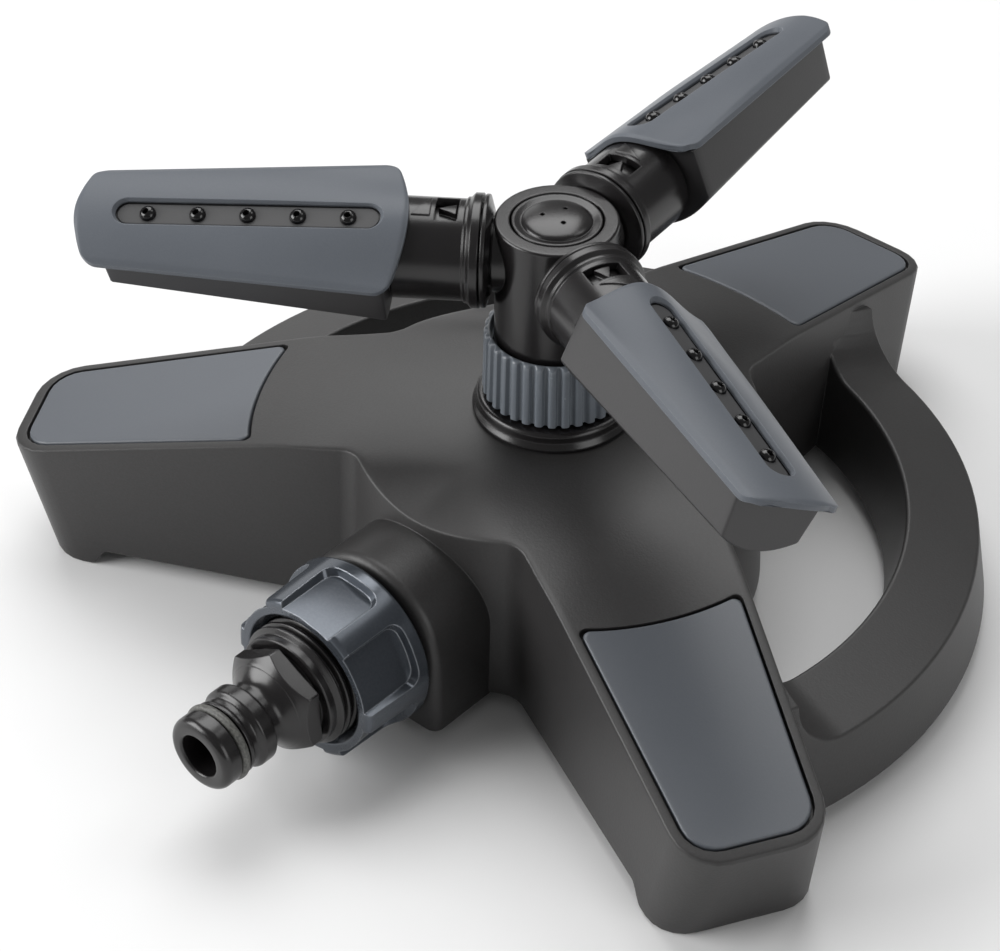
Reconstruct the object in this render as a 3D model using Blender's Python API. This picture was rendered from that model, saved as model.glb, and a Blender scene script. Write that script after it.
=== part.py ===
# Three-arm rotating lawn sprinkler on a three-legged hollow base, with a quick-connect inlet.
# All lengths are in metres and all angles in degrees. The hub turns about the Z axis, the ground
# is z = 0, one leg points along +Y and the inlet points along -Y.

import math

import bmesh
import bpy
from mathutils import Matrix, Vector

# Clearances
FIT_GAP = 0.0003
GROOVE_GAP = 0.0006

# Walls of the base
WALL = 0.0025
TOP_WALL = 0.0036

# Base: legs, crown and skirt
LEG_COUNT = 3
LEG_REACH = 0.1159
LEG_TIP_HEIGHT = 0.0266
LEG_SLOPE = 13.7
LEG_TIP_HALF_WIDTH = 0.0148
LEG_TAPER = 4.5
LEG_CORNER_RADIUS = 0.0090
FOOT_SETBACK = 0.0081
FOOT_FLARE = 0.0015
FOOT_TAPER = 4.6
FOOT_CORNER_RADIUS = 0.0080
FOOT_LENGTH = 0.0134
FOOT_STEP_LENGTH = 0.0041
SKIRT_CLEARANCE = 0.0038
CROWN_RADIUS = 0.0432
SKIRT_FLARE = 0.0014
VALLEY_DIP = 0.0023
VALLEY_FILLET = 0.0060
FLATTENING_LENGTH = 0.0118
RIDGE_BLEND_OFFSET = 0.0018
RIDGE_BLEND_LENGTH = 0.0130
SEAT_HEIGHT = 0.0461
FOOT_REACH = LEG_REACH - FOOT_SETBACK
FOOT_HALF_WIDTH = LEG_TIP_HALF_WIDTH + FOOT_FLARE
FOOT_START = FOOT_REACH - FOOT_LENGTH
SKIRT_RADIUS = CROWN_RADIUS + SKIRT_FLARE
FLATTENING_RADIUS = CROWN_RADIUS + FLATTENING_LENGTH
RIDGE_BLEND_START = CROWN_RADIUS + RIDGE_BLEND_OFFSET

# Inlay panels on the legs
PANEL_TIP_MARGIN = 0.0024
PANEL_SIDE_MARGIN = 0.0024
PANEL_INNER_MARGIN = 0.0025
PANEL_CROWN_GAP = 0.0196
PANEL_OUTER_CORNER = 0.0064
PANEL_INNER_CORNER = 0.0032
PANEL_DEPTH = 0.0016
PANEL_PROUD = 0.0001
PANEL_OUTER_REACH = LEG_REACH - PANEL_TIP_MARGIN
PANEL_OUTER_HALF_WIDTH = LEG_TIP_HALF_WIDTH - PANEL_SIDE_MARGIN
PANEL_INNER_REACH = CROWN_RADIUS + PANEL_CROWN_GAP

# Strap handles between the rear leg and the two front legs
STRAP_HEIGHT = 0.0208
STRAP_FALL = 0.0020
STRAP_SETBACK = 0.0262
STRAP_WIDTH = 0.0155
STRAP_INNER_LEAN = 0.0034
STRAP_OUTER_LEAN = 0.0024
STRAP_RISE_LENGTH = 0.0110
STRAP_RISE_SHORTFALL = 0.0012
STRAP_RISE_LEAN = 0.5
STRAP_SINK = 0.0015
STRAP_TOP_OUTER_RADIUS = LEG_REACH - STRAP_SETBACK
STRAP_TOP_INNER_RADIUS = STRAP_TOP_OUTER_RADIUS - STRAP_WIDTH
STRAP_FOOT_OUTER_RADIUS = STRAP_TOP_OUTER_RADIUS + STRAP_OUTER_LEAN
STRAP_FOOT_INNER_RADIUS = STRAP_TOP_INNER_RADIUS - STRAP_INNER_LEAN

# Inlet housing, an arch in the skirt
INLET_HEIGHT = 0.0213
HOUSING_RADIUS = 0.0177
HOUSING_LENGTH = 0.0124
HOUSING_EDGE_RADIUS = 0.0024
HOUSING_SINK = 0.0067
TUNNEL_LENGTH = 0.0233
HOUSING_REACH = SKIRT_RADIUS + HOUSING_LENGTH

# Water duct under the crown
DUCT_BORE_RADIUS = 0.0060
DUCT_WALL = 0.0020
RISER_WALL = 0.0030
RISER_DEPTH = 0.0121
DUCT_PLATE_DROP = 0.0052
DUCT_PLATE_THICKNESS = 0.0027
DUCT_PLATE_MARGIN = 0.0042
SCREW_CIRCLE_RADIUS = 0.0220
SCREW_BOSS_WALL = 0.0019
SCREW_RADIUS = 0.0014
SCREW_HEAD_RADIUS = 0.0028
SCREW_HEAD_CROWN = 0.0020
SCREW_HEAD_EDGE = 0.0007
SCREW_HEAD_HEIGHT = 0.0018
SCREW_LENGTH = 0.0100
DUCT_RADIUS = DUCT_BORE_RADIUS + DUCT_WALL
RISER_RADIUS = DUCT_BORE_RADIUS + RISER_WALL
RISER_TOP = SEAT_HEIGHT - RISER_DEPTH
DUCT_PLATE_HEIGHT = RISER_TOP - DUCT_PLATE_DROP
DUCT_PLATE_RADIUS = SCREW_CIRCLE_RADIUS + DUCT_PLATE_MARGIN
SCREW_BOSS_RADIUS = SCREW_RADIUS + SCREW_BOSS_WALL

# Inlet spigot, swivel nut and sealing washer
THREAD_RADIUS = 0.0132
THREAD_DEPTH = 0.0011
THREAD_PITCH = 0.0018
THREAD_CREST_START = 0.35
THREAD_CREST_END = 0.65
SPIGOT_FLANGE_GAP = 0.0004
SPIGOT_FLANGE_RISE = 0.0018
SPIGOT_FLANGE_LENGTH = 0.0020
SPIGOT_TAIL_LENGTH = 0.0080
NUT_GAP = 0.0019
NUT_LENGTH = 0.0172
NUT_WALL = 0.0054
NUT_FRONT_DRAFT = 0.0006
NUT_MOUTH_RISE = 0.0017
NUT_MOUTH_DEPTH = 0.0022
NUT_BACK_WALL = 0.0033
NUT_BACK_CHAMFER = 0.0008
NUT_FRONT_CHAMFER = 0.0010
NUT_POCKETS = 6
NUT_POCKET_ANGLE = 43.0
NUT_POCKET_DEPTH = 0.0020
NUT_POCKET_CORNER = 0.0022
NUT_POCKET_FLARE = 0.0006
NUT_TURN = -5.0
WASHER_THICKNESS = 0.0020
WASHER_BORE_RADIUS = 0.0070
SPIGOT_FLANGE_RADIUS = THREAD_RADIUS - SPIGOT_FLANGE_GAP
SPIGOT_RADIUS = SPIGOT_FLANGE_RADIUS - SPIGOT_FLANGE_RISE
NUT_RADIUS = THREAD_RADIUS + NUT_WALL
NUT_START = HOUSING_REACH + NUT_GAP
NUT_END = NUT_START + NUT_LENGTH
NUT_POCKET_START = NUT_START + NUT_BACK_WALL
SPIGOT_END = NUT_START + NUT_BACK_WALL + FIT_GAP + SPIGOT_FLANGE_LENGTH

# Hose plug screwed into the nut
PLUG_BORE_RADIUS = 0.0046
PLUG_NOSE_RADIUS = 0.0080
PLUG_NOSE_ROUNDING = 0.0022
PLUG_NOSE_LENGTH = 0.0054
PLUG_RING_SPACING = 0.0062
PLUG_RING_THICKNESS = 0.0019
PLUG_RING_BED_DEPTH = 0.0016
PLUG_SHOULDER_WIDTH = 0.0010
PLUG_SHOULDER_SLOPE = 0.0006
PLUG_GROOVE_DEPTH = 0.0005
PLUG_RIDGE_RISE = 0.0006
PLUG_RIDGE_WIDTH = 0.0030
PLUG_RIDGE_CHAMFER = 0.0007
PLUG_NECK_DEPTH = 0.0010
PLUG_NECK_LENGTH = 0.0039
PLUG_WAIST_LENGTH = 0.0033
PLUG_HEX_WIDTH = 0.0206
PLUG_HEX_THICKNESS = 0.0047
PLUG_HEX_GAP = 0.0054
PLUG_HEX_CHAMFER = 0.0026
PLUG_HEX_CHAMFER_LENGTH = 0.0020
PLUG_HEX_LIP = 0.0002
PLUG_HEX_TURN = 32.0
PLUG_HEX_START = NUT_END + PLUG_HEX_GAP
PLUG_HEX_END = PLUG_HEX_START + PLUG_HEX_THICKNESS
PLUG_NECK_PLACE = PLUG_HEX_END + PLUG_WAIST_LENGTH
PLUG_RIDGE_PLACE = PLUG_NECK_PLACE + PLUG_NECK_LENGTH
PLUG_RING_PLACE = PLUG_RIDGE_PLACE + PLUG_RING_SPACING
PLUG_END = PLUG_RING_PLACE + PLUG_NOSE_LENGTH
PLUG_NECK_RADIUS = PLUG_NOSE_RADIUS - PLUG_NECK_DEPTH
PLUG_GROOVE_RADIUS = PLUG_NOSE_RADIUS - PLUG_GROOVE_DEPTH
PLUG_RIDGE_RADIUS = PLUG_NOSE_RADIUS + PLUG_RIDGE_RISE
PLUG_RING_BED_RADIUS = PLUG_NOSE_RADIUS - PLUG_RING_BED_DEPTH

# Hub and its cap
HUB_RADIUS = 0.0125
HUB_WALL = 0.0031
HUB_FLANGE_RISE = 0.0007
HUB_FLANGE_THICKNESS = 0.0016
HUB_RIM_CHAMFER = 0.0005
HUB_NECK_LENGTH = 0.0132
HUB_CROWN_RISE = 0.0085
CAP_DEPTH = 0.0036
CAP_RIM_WIDTH = 0.0020
CAP_RIM_EDGE = 0.0003
CAP_GROOVE_WIDTH = 0.0002
CAP_GROOVE_DEPTH = 0.0004
CAP_DOME_HEIGHT = 0.0016
CAP_HOLE_RADIUS = 0.0005
CAP_HOLE_CIRCLE = 0.0029
SEAL_THICKNESS = 0.0018
SEAL_WIDTH = 0.0027
HUB_CHAMBER_RADIUS = HUB_RADIUS - HUB_WALL
HUB_FLANGE_RADIUS = HUB_RADIUS + HUB_FLANGE_RISE
CAP_DOME_RADIUS = HUB_CHAMBER_RADIUS - FIT_GAP - CAP_RIM_WIDTH

# Rotor seat: housing, spindle, collar and bearing parts
COLLAR_WALL = 0.0019
COLLAR_DRAFT = 0.0004
COLLAR_GAP = 0.0005
COLLAR_HEIGHT = 0.0148
COLLAR_RIBS = 33
COLLAR_RIB_DEPTH = 0.0008
COLLAR_RIB_TURN = 1.5
COLLAR_RIB_SHARES = ((0.0, 1.0), (0.20, 1.0), (0.40, 0.0), (0.80, 0.0))
COLLAR_TOP_EDGE = 0.0008
COLLAR_FOOT_EDGE = 0.0003
COLLAR_LIP_THICKNESS = 0.0012
COLLAR_MOUTH_WIDTH = 0.0005
SEAT_STEP_THICKNESS = 0.0022
SEAT_STEP_MARGIN = 0.0013
SEAT_FLANGE_MARGIN = 0.00075
SEAT_FLANGE_THICKNESS = 0.0018
SEAT_ROUNDING = 0.0013
SEAT_FLANGE_EDGE = 0.0005
SEAT_NECK_LENGTH = 0.0074
SEAT_BARREL_RADIUS = 0.0120
SPINDLE_BORE_RADIUS = 0.0042
SPINDLE_WALL = 0.0018
SPINDLE_FLANGE_RISE = 0.0026
SPINDLE_FLANGE_THICKNESS = 0.0018
SPINDLE_PROUD = 0.0035
THRUST_WASHER_THICKNESS = 0.0008
SEAT_NECK_RADIUS = HUB_RADIUS + FIT_GAP
COLLAR_BOTTOM_RADIUS = SEAT_NECK_RADIUS + FIT_GAP + COLLAR_WALL
COLLAR_TOP_RADIUS = COLLAR_BOTTOM_RADIUS - COLLAR_DRAFT
SEAT_STEP_RADIUS = COLLAR_BOTTOM_RADIUS + SEAT_STEP_MARGIN
SEAT_FLANGE_RADIUS = SEAT_STEP_RADIUS + SEAT_FLANGE_MARGIN
SPINDLE_RADIUS = SPINDLE_BORE_RADIUS + SPINDLE_WALL
SPINDLE_FLANGE_RADIUS = SPINDLE_RADIUS + SPINDLE_FLANGE_RISE
SEAL_OUTER_RADIUS = SPINDLE_RADIUS + SEAL_WIDTH
SEAT_STEP_HEIGHT = SEAT_HEIGHT + FIT_GAP + SEAT_FLANGE_THICKNESS + SEAT_STEP_THICKNESS
SEAT_NECK_TOP = SEAT_STEP_HEIGHT + SEAT_NECK_LENGTH
COLLAR_BOTTOM = SEAT_STEP_HEIGHT + COLLAR_GAP
COLLAR_TOP = COLLAR_BOTTOM + COLLAR_HEIGHT
HUB_CHAMBER_BOTTOM = SEAT_NECK_TOP + HUB_NECK_LENGTH
SPINDLE_TOP = HUB_CHAMBER_BOTTOM + SPINDLE_PROUD

# Arms: where they sit on the hub
ARM_COUNT = 3
ARM_RISE = 0.0125
ARM_LEAD = 6.0
ARM_ROLL = 24.6
ARM_HEIGHT = HUB_CHAMBER_BOTTOM + ARM_RISE
HUB_TOP = ARM_HEIGHT + HUB_CROWN_RISE

# Arm stub on the hub
STUB_BORE_RADIUS = 0.0048
STUB_WALL = 0.0018
STUB_INNER_GAP = 0.0004
STUB_CONE_RISE = 0.0006
STUB_CONE_LENGTH = 0.0012
STUB_FLANGE_THICKNESS = 0.0009
STUB_FLANGE_RISE = 0.0030
STUB_BARREL_RADIUS = 0.0084
STUB_BARREL_LENGTH = 0.0134
HUB_BOSS_WALL = 0.0014
STUB_PIPE_RADIUS = STUB_BORE_RADIUS + STUB_WALL
HUB_BOSS_RADIUS = STUB_PIPE_RADIUS + HUB_BOSS_WALL
STUB_CONE_RADIUS = HUB_BOSS_RADIUS + STUB_CONE_RISE
STUB_START = HUB_CHAMBER_RADIUS + STUB_INNER_GAP
STUB_FLANGE_START = HUB_RADIUS + STUB_CONE_LENGTH
STUB_FLANGE_END = STUB_FLANGE_START + STUB_FLANGE_THICKNESS
STUB_FLANGE_RADIUS = STUB_BARREL_RADIUS + STUB_FLANGE_RISE
STUB_END = STUB_FLANGE_END + STUB_BARREL_LENGTH

# Sleeve that turns on the stub, its window and the marks
SLEEVE_WALL = 0.00155
SLEEVE_RIM_RISE = 0.0013
SLEEVE_RIM_LENGTH = 0.0029
SLEEVE_RIM_SLOPE = 0.0010
SLEEVE_SPIGOT_RADIUS = 0.0076
SLEEVE_SPIGOT_LENGTH = 0.0074
SLEEVE_JOINT = 0.0005
WINDOW_MARGIN = 0.0017
WINDOW_LENGTH = 0.0046
WINDOW_HALF_ANGLE = 22.5
POINTER_MARGIN = 0.0004
POINTER_LENGTH = 0.0036
POINTER_HALF_WIDTH = 0.0015
POINTER_HEIGHT = 0.0013
MARK_MARGIN = 0.0009
MARK_LENGTH = 0.0037
MARK_HALF_WIDTH = 0.0030
MARK_HEIGHT = 0.0003
MARK_SKEW = 1.0
WEDGE_ROOT = 0.0006
ARM_RING_THICKNESS = 0.0014
ARM_RING_MARGIN = 0.0016
SLEEVE_RADIUS = STUB_BARREL_RADIUS + FIT_GAP + SLEEVE_WALL
SLEEVE_RIM_RADIUS = SLEEVE_RADIUS + SLEEVE_RIM_RISE
SLEEVE_RIM_END = STUB_FLANGE_END + FIT_GAP + SLEEVE_RIM_LENGTH
WINDOW_START = SLEEVE_RIM_END + WINDOW_MARGIN
WINDOW_END = WINDOW_START + WINDOW_LENGTH
POINTER_START = WINDOW_START + POINTER_MARGIN
MARK_START = WINDOW_END + MARK_MARGIN
ARM_RING_PLACE = STUB_END - ARM_RING_MARGIN

# Cover of the arm
COVER_SETBACK = 0.0034
COVER_LENGTH = 0.0633
COVER_LIP = 0.0015
COVER_START_BULGE = 0.0024
COVER_END_BULGE = 0.0015
COVER_START_HALF_WIDTH = 0.0150
COVER_END_HALF_WIDTH = 0.0107
COVER_START_EDGE_HEIGHT = 0.0070
COVER_END_EDGE_HEIGHT = 0.0056
COVER_SLEEVE_GAP = 0.00045
COVER_CREST_SLOPE = 3.6
COVER_THICKNESS = 0.0012
COVER_CORNER_RADIUS = 0.0040
COVER_HUMP_FADE = (-0.12, 0.5)
COVER_STATIONS = (0.0, 0.01, 0.03, 0.06, 0.16, 0.3, 0.5, 0.72, 0.945, 0.975, 0.991, 1.0)
SLOT_HALF_WIDTH = 0.0026
SLOT_BEVEL = 0.0006
COVER_START = STUB_END + COVER_SETBACK
COVER_END = COVER_START + COVER_LENGTH
COVER_CREST_START = SLEEVE_RADIUS + COVER_SLEEVE_GAP + COVER_THICKNESS
SLEEVE_END = COVER_START + COVER_LIP - SLEEVE_JOINT

# Trough under the cover
TROUGH_OVERHANG = 0.0050
TROUGH_START_INSET = 0.0005
TROUGH_END_INSET = 0.0006
TROUGH_START_DRAFT = 0.0002
TROUGH_END_DRAFT = 0.0012
TROUGH_FLOOR_DEPTH = 0.0051
TROUGH_START_FLOOR_SAG = 0.0056
TROUGH_END_FLOOR_SAG = 0.0027
TROUGH_WALL = 0.0020
CHANNEL_HALF_WIDTH = 0.0018
CHANNEL_DEPTH = 0.0028
CHANNEL_WALL = 0.0014
TROUGH_START = COVER_START + COVER_LIP
TROUGH_END = COVER_END - TROUGH_OVERHANG
TROUGH_START_TOP_HALF_WIDTH = COVER_START_HALF_WIDTH - TROUGH_START_INSET
TROUGH_END_TOP_HALF_WIDTH = COVER_END_HALF_WIDTH - TROUGH_END_INSET
TROUGH_START_FLOOR_HALF_WIDTH = TROUGH_START_TOP_HALF_WIDTH - TROUGH_START_DRAFT
TROUGH_END_FLOOR_HALF_WIDTH = TROUGH_END_TOP_HALF_WIDTH - TROUGH_END_DRAFT

# Nozzle strip in the cover's slot
NOZZLES = 5
NOZZLE_START_MARGIN = 0.0096
NOZZLE_PITCH = 0.0101
NOZZLE_END_MARGIN = 0.0062
NOZZLE_RADIUS = 0.0017
NOZZLE_HEIGHT = 0.0012
NOZZLE_HOLE_RADIUS = 0.0005
NOZZLE_FAN = 7.0
STRIP_SINK = 0.0013
STRIP_THICKNESS = 0.0020
FIRST_NOZZLE = COVER_START + NOZZLE_START_MARGIN

# Surfaces: colour, roughness, metallic
BLACK_PLASTIC = ((0.020, 0.020, 0.021), 0.48, 0.0)
GLOSSY_BLACK = ((0.014, 0.014, 0.015), 0.30, 0.0)
CHARCOAL = ((0.052, 0.051, 0.051), 0.55, 0.0)
SLATE = ((0.140, 0.150, 0.166), 0.42, 0.0)
SLATE_LIGHT = ((0.190, 0.204, 0.223), 0.38, 0.0)
RUBBER = ((0.010, 0.010, 0.010), 0.70, 0.0)
STEEL = ((0.55, 0.55, 0.56), 0.30, 1.0)

# Facets
ROUND_STEPS = 28
SMALL_STEPS = 20
TINY_STEPS = 10
BOSS_STEPS = 16
JET_STEPS = 6
JET_FACET_TURN = 11.0
NUT_STEPS = 36
PLUG_STEPS = 24
CORNER_STEPS = 4
FILLET_STEPS = 3
LEG_SIDE_STEPS = 3
VALLEY_STEPS = 4
CROWN_RING_SHARES = (0.18, 0.39, 0.7, 1.0)
CEILING_RING_SHARES = (1.0, 0.4)
STRAP_RISE_STEPS = 5
STRAP_RISE_CROWDING = 1.5
STRAP_STEPS = 4
ARCH_STEPS = 16
PANEL_END_STEPS = 10
RING_STEPS = 8
DOME_STEPS = 5
NOZZLE_DOME_STEPS = 3
COVER_COLUMNS = 10
TROUGH_COLUMNS = 6
TROUGH_STATIONS = 5
POCKET_COLUMNS = 3
WEDGE_ROWS = 2


def clear_scene():
    for old in list(bpy.data.objects):
        bpy.data.objects.remove(old, do_unlink=True)


def finish_mesh(bm, name):
    bmesh.ops.remove_doubles(bm, verts=bm.verts, dist=1e-7)
    bmesh.ops.recalc_face_normals(bm, faces=bm.faces)
    mesh = bpy.data.meshes.new(name)
    bm.to_mesh(mesh)
    bm.free()
    mesh.shade_smooth()
    mesh.set_sharp_from_angle(angle=math.radians(35))
    return mesh


def place(name, mesh, surface, parent):
    colour, roughness, metallic = surface
    made = bpy.data.objects.new(name, mesh)
    bpy.context.scene.collection.objects.link(made)
    made.parent = parent
    finish = bpy.data.materials.new(name)
    finish.use_nodes = True
    shader = finish.node_tree.nodes["Principled BSDF"]
    shader.inputs["Base Color"].default_value = (*colour, 1.0)
    shader.inputs["Roughness"].default_value = roughness
    shader.inputs["Metallic"].default_value = metallic
    finish.diffuse_color = (*colour, 1.0)
    mesh.materials.append(finish)
    return made


def helper(mesh, parent):
    made = bpy.data.objects.new("helper_" + mesh.name, mesh)
    bpy.context.scene.collection.objects.link(made)
    made.parent = parent
    made.hide_render = True
    made.display_type = "WIRE"
    return made


def empty(name, parent=None, location=(0.0, 0.0, 0.0), rotation=(0.0, 0.0, 0.0)):
    made = bpy.data.objects.new(name, None)
    bpy.context.scene.collection.objects.link(made)
    made.parent = parent
    made.location = location
    made.rotation_euler = [math.radians(angle) for angle in rotation]
    return made


def change(target, operation, other):
    modifier = target.modifiers.new(operation.lower() + "_" + other.name, "BOOLEAN")
    modifier.operation = operation
    modifier.object = other
    modifier.solver = "EXACT"


def cut(target, mesh):
    change(target, "DIFFERENCE", helper(mesh, target))


def join(target, mesh):
    change(target, "UNION", helper(mesh, target))


def smooth_step(value, start, end):
    share = min(max((value - start) / (end - start), 0.0), 1.0)
    return share * share * (3.0 - 2.0 * share)


def mix(first, second, share):
    return first + (second - first) * share


def turned_mesh(name, outline, steps, axis="Z"):
    # The outline is a list of (radius, place along the axis). It closes itself, unless both of
    # its ends lie on the axis.
    bm = bmesh.new()
    if axis == "Z":
        verts = [bm.verts.new((radius, 0.0, along)) for radius, along in outline]
        spin_axis = Vector((0.0, 0.0, 1.0))
    else:
        verts = [bm.verts.new((along, 0.0, radius)) for radius, along in outline]
        spin_axis = Vector((1.0, 0.0, 0.0))
    following = verts[1:]
    if max(outline[0][0], outline[-1][0]) > 0.0:
        following.append(verts[0])
    edges = [bm.edges.new(pair) for pair in zip(verts, following)]
    bmesh.ops.spin(bm, geom=verts + edges, cent=(0.0, 0.0, 0.0), axis=spin_axis,
                   angle=math.tau, steps=steps, use_merge=True)
    return finish_mesh(bm, name)


def skinned_mesh(name, rings, close_path=False):
    # Rings are closed loops. The count of one ring may be a multiple of the next ring's count.
    # Without close_path the end rings get caps.
    bm = bmesh.new()
    loops = [[bm.verts.new(point) for point in ring] for ring in rings]
    pairs = list(zip(loops, loops[1:]))
    if close_path:
        pairs.append((loops[-1], loops[0]))
    for lower, upper in pairs:
        count = min(len(lower), len(upper))
        corners = []
        for loop in (lower, upper):
            step = len(loop) // count
            closed = loop + loop[:1]
            corners.append([closed[i * step:(i + 1) * step + 1] for i in range(count)])
        for below, above in zip(*corners):
            bm.faces.new(below + above[::-1])
    if not close_path:
        bm.faces.new(loops[0])
        bm.faces.new(loops[-1])
    return finish_mesh(bm, name)


def prism_mesh(name, outline, bottom, top):
    return skinned_mesh(name, [[(x, y, z) for x, y in outline] for z in (bottom, top)])


def box_mesh(name, low, high):
    outline = [(low[0], low[1]), (high[0], low[1]), (high[0], high[1]), (low[0], high[1])]
    return prism_mesh(name, outline, low[2], high[2])


def arc(centre, radius, start, end, steps):
    angles = [math.radians(mix(start, end, i / steps)) for i in range(steps + 1)]
    return [(centre[0] + radius * math.cos(a), centre[1] + radius * math.sin(a)) for a in angles]


def round_corner(before, corner, after, radius, steps):
    # The corner point replaced by an arc that touches both of its sides.
    corner = Vector(corner)
    towards_before = (Vector(before) - corner).normalized()
    towards_after = (Vector(after) - corner).normalized()
    half = towards_before.angle(towards_after) / 2.0
    centre = corner + (towards_before + towards_after).normalized() * (radius / math.sin(half))
    first = corner + towards_before * (radius / math.tan(half)) - centre
    last = corner + towards_after * (radius / math.tan(half)) - centre
    sweep = first.angle_signed(last)
    points = []
    for i in range(steps + 1):
        points.append(tuple(centre + Matrix.Rotation(-sweep * i / steps, 2) @ first))
    return points


def leg_angle(index):
    return 90.0 + 360.0 * index / LEG_COUNT


def leg_line(place):
    return LEG_TIP_HEIGHT + (LEG_REACH - place) * math.tan(math.radians(LEG_SLOPE))


def leg_half_width(along):
    return LEG_TIP_HALF_WIDTH + (LEG_REACH - along) * math.tan(math.radians(LEG_TAPER))


def half_leg_outline(reach, half_width, taper, corner, crown, fillet):
    # From the middle of the leg's tip to the middle of the valley, as (along, across) points.
    slope = math.tan(math.radians(taper))
    tip = (reach, half_width)
    far = (0.0, half_width + reach * slope)
    points = [(reach, 0.0)]
    points += round_corner((reach, 0.0), tip, far, corner, CORNER_STEPS)
    lift = fillet / math.cos(math.radians(taper))
    base = half_width + reach * slope + lift
    a = 1.0 + slope * slope
    b = -2.0 * base * slope
    c = base * base - (crown + fillet) ** 2
    centre_along = (-b + math.sqrt(b * b - 4.0 * a * c)) / (2.0 * a)
    centre = (centre_along, base - slope * centre_along)
    side_end = centre_along - fillet * math.sin(math.radians(taper))
    foot_end = FOOT_START + FOOT_STEP_LENGTH
    stations = [mix(foot_end, FOOT_START, i / LEG_SIDE_STEPS) for i in range(LEG_SIDE_STEPS + 1)]
    stations += [mix(FOOT_START, side_end, i / LEG_SIDE_STEPS) for i in range(1, LEG_SIDE_STEPS)]
    points += [(along, half_width + (reach - along) * slope) for along in stations]
    touch = math.degrees(math.atan2(centre[1], centre[0]))
    points += arc(centre, fillet, 270.0 - taper, 180.0 + touch, FILLET_STEPS)
    valley = 180.0 / LEG_COUNT
    points += arc((0.0, 0.0), crown, touch, valley, VALLEY_STEPS)[1:]
    return points


def base_outline(reach, half_width, taper, corner, crown, fillet):
    half = half_leg_outline(reach, half_width, taper, corner, crown, fillet)
    whole = []
    for index in range(LEG_COUNT):
        turn = Matrix.Rotation(math.radians(leg_angle(index)), 2)
        left = [turn @ Vector((along, -across)) for along, across in half[1:]]
        right = [turn @ Vector((along, across)) for along, across in half[:-1]]
        whole += left[::-1] + right
    return [(point.x, point.y) for point in whole]


def in_leg_frame(x, y):
    # How far along the nearest leg a point lies, and how far to its side.
    best = None
    for index in range(LEG_COUNT):
        turn = math.radians(leg_angle(index))
        along = x * math.cos(turn) + y * math.sin(turn)
        across = abs(y * math.cos(turn) - x * math.sin(turn))
        if best is None or along > best[0]:
            best = (along, across)
    return best


def crown_height(x, y):
    along, across = in_leg_frame(x, y)
    radius = math.hypot(x, y)
    blend_end = RIDGE_BLEND_START + RIDGE_BLEND_LENGTH
    place = mix(radius, along, smooth_step(along, RIDGE_BLEND_START, blend_end))
    bend = leg_line(SEAT_FLANGE_RADIUS) - SEAT_HEIGHT
    bend /= (FLATTENING_RADIUS - SEAT_FLANGE_RADIUS) ** 2
    inside = max(FLATTENING_RADIUS - place, 0.0)
    valley_across = CROWN_RADIUS * math.sin(math.radians(180.0 / LEG_COUNT))
    dip = VALLEY_DIP * smooth_step(across, leg_half_width(along), valley_across)
    return leg_line(place) - bend * inside * inside - dip


def foot_height(x, y):
    along = in_leg_frame(x, y)[0]
    return SKIRT_CLEARANCE * (1.0 - smooth_step(along, FOOT_START, FOOT_START + FOOT_STEP_LENGTH))


def base_shell_rings():
    top = base_outline(LEG_REACH, LEG_TIP_HALF_WIDTH, LEG_TAPER, LEG_CORNER_RADIUS,
                       CROWN_RADIUS, VALLEY_FILLET)
    foot = base_outline(FOOT_REACH, FOOT_HALF_WIDTH, FOOT_TAPER, FOOT_CORNER_RADIUS,
                        SKIRT_RADIUS, VALLEY_FILLET)
    inner_top = base_outline(LEG_REACH - WALL, LEG_TIP_HALF_WIDTH - WALL, LEG_TAPER,
                             LEG_CORNER_RADIUS - WALL, CROWN_RADIUS - WALL, VALLEY_FILLET + WALL)
    inner_foot = base_outline(FOOT_REACH - WALL, FOOT_HALF_WIDTH - WALL, FOOT_TAPER,
                              FOOT_CORNER_RADIUS - WALL, SKIRT_RADIUS - WALL, VALLEY_FILLET + WALL)
    seat_edge = SEAT_FLANGE_RADIUS + FIT_GAP
    hole = SEAT_BARREL_RADIUS + FIT_GAP

    def circle(radius, height):
        ring = []
        for x, y in top:
            share = radius / math.hypot(x, y)
            ring.append((x * share, y * share, height))
        return ring

    def spread(outline, share, drop):
        ring = []
        for x, y in outline:
            start = seat_edge / math.hypot(x, y)
            px = mix(x * start, x, share)
            py = mix(y * start, y, share)
            ring.append((px, py, crown_height(px, py) - drop))
        return ring

    def wall_ring(upper, lower, drop):
        ring = []
        for (tx, ty), (bx, by) in zip(upper, lower):
            top_z = crown_height(tx, ty) - drop
            height = foot_height(bx, by)
            share = (top_z - height) / top_z
            ring.append((mix(tx, bx, share), mix(ty, by, share), height))
        return ring

    rings = [circle(hole, SEAT_HEIGHT), circle(seat_edge, SEAT_HEIGHT)]
    rings += [spread(top, share, 0.0) for share in CROWN_RING_SHARES]
    rings += [wall_ring(top, foot, 0.0), wall_ring(inner_top, inner_foot, TOP_WALL)]
    rings += [spread(inner_top, share, TOP_WALL) for share in CEILING_RING_SHARES]
    rings += [circle(seat_edge, SEAT_HEIGHT - TOP_WALL), circle(hole, SEAT_HEIGHT - TOP_WALL)]
    return rings


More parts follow.
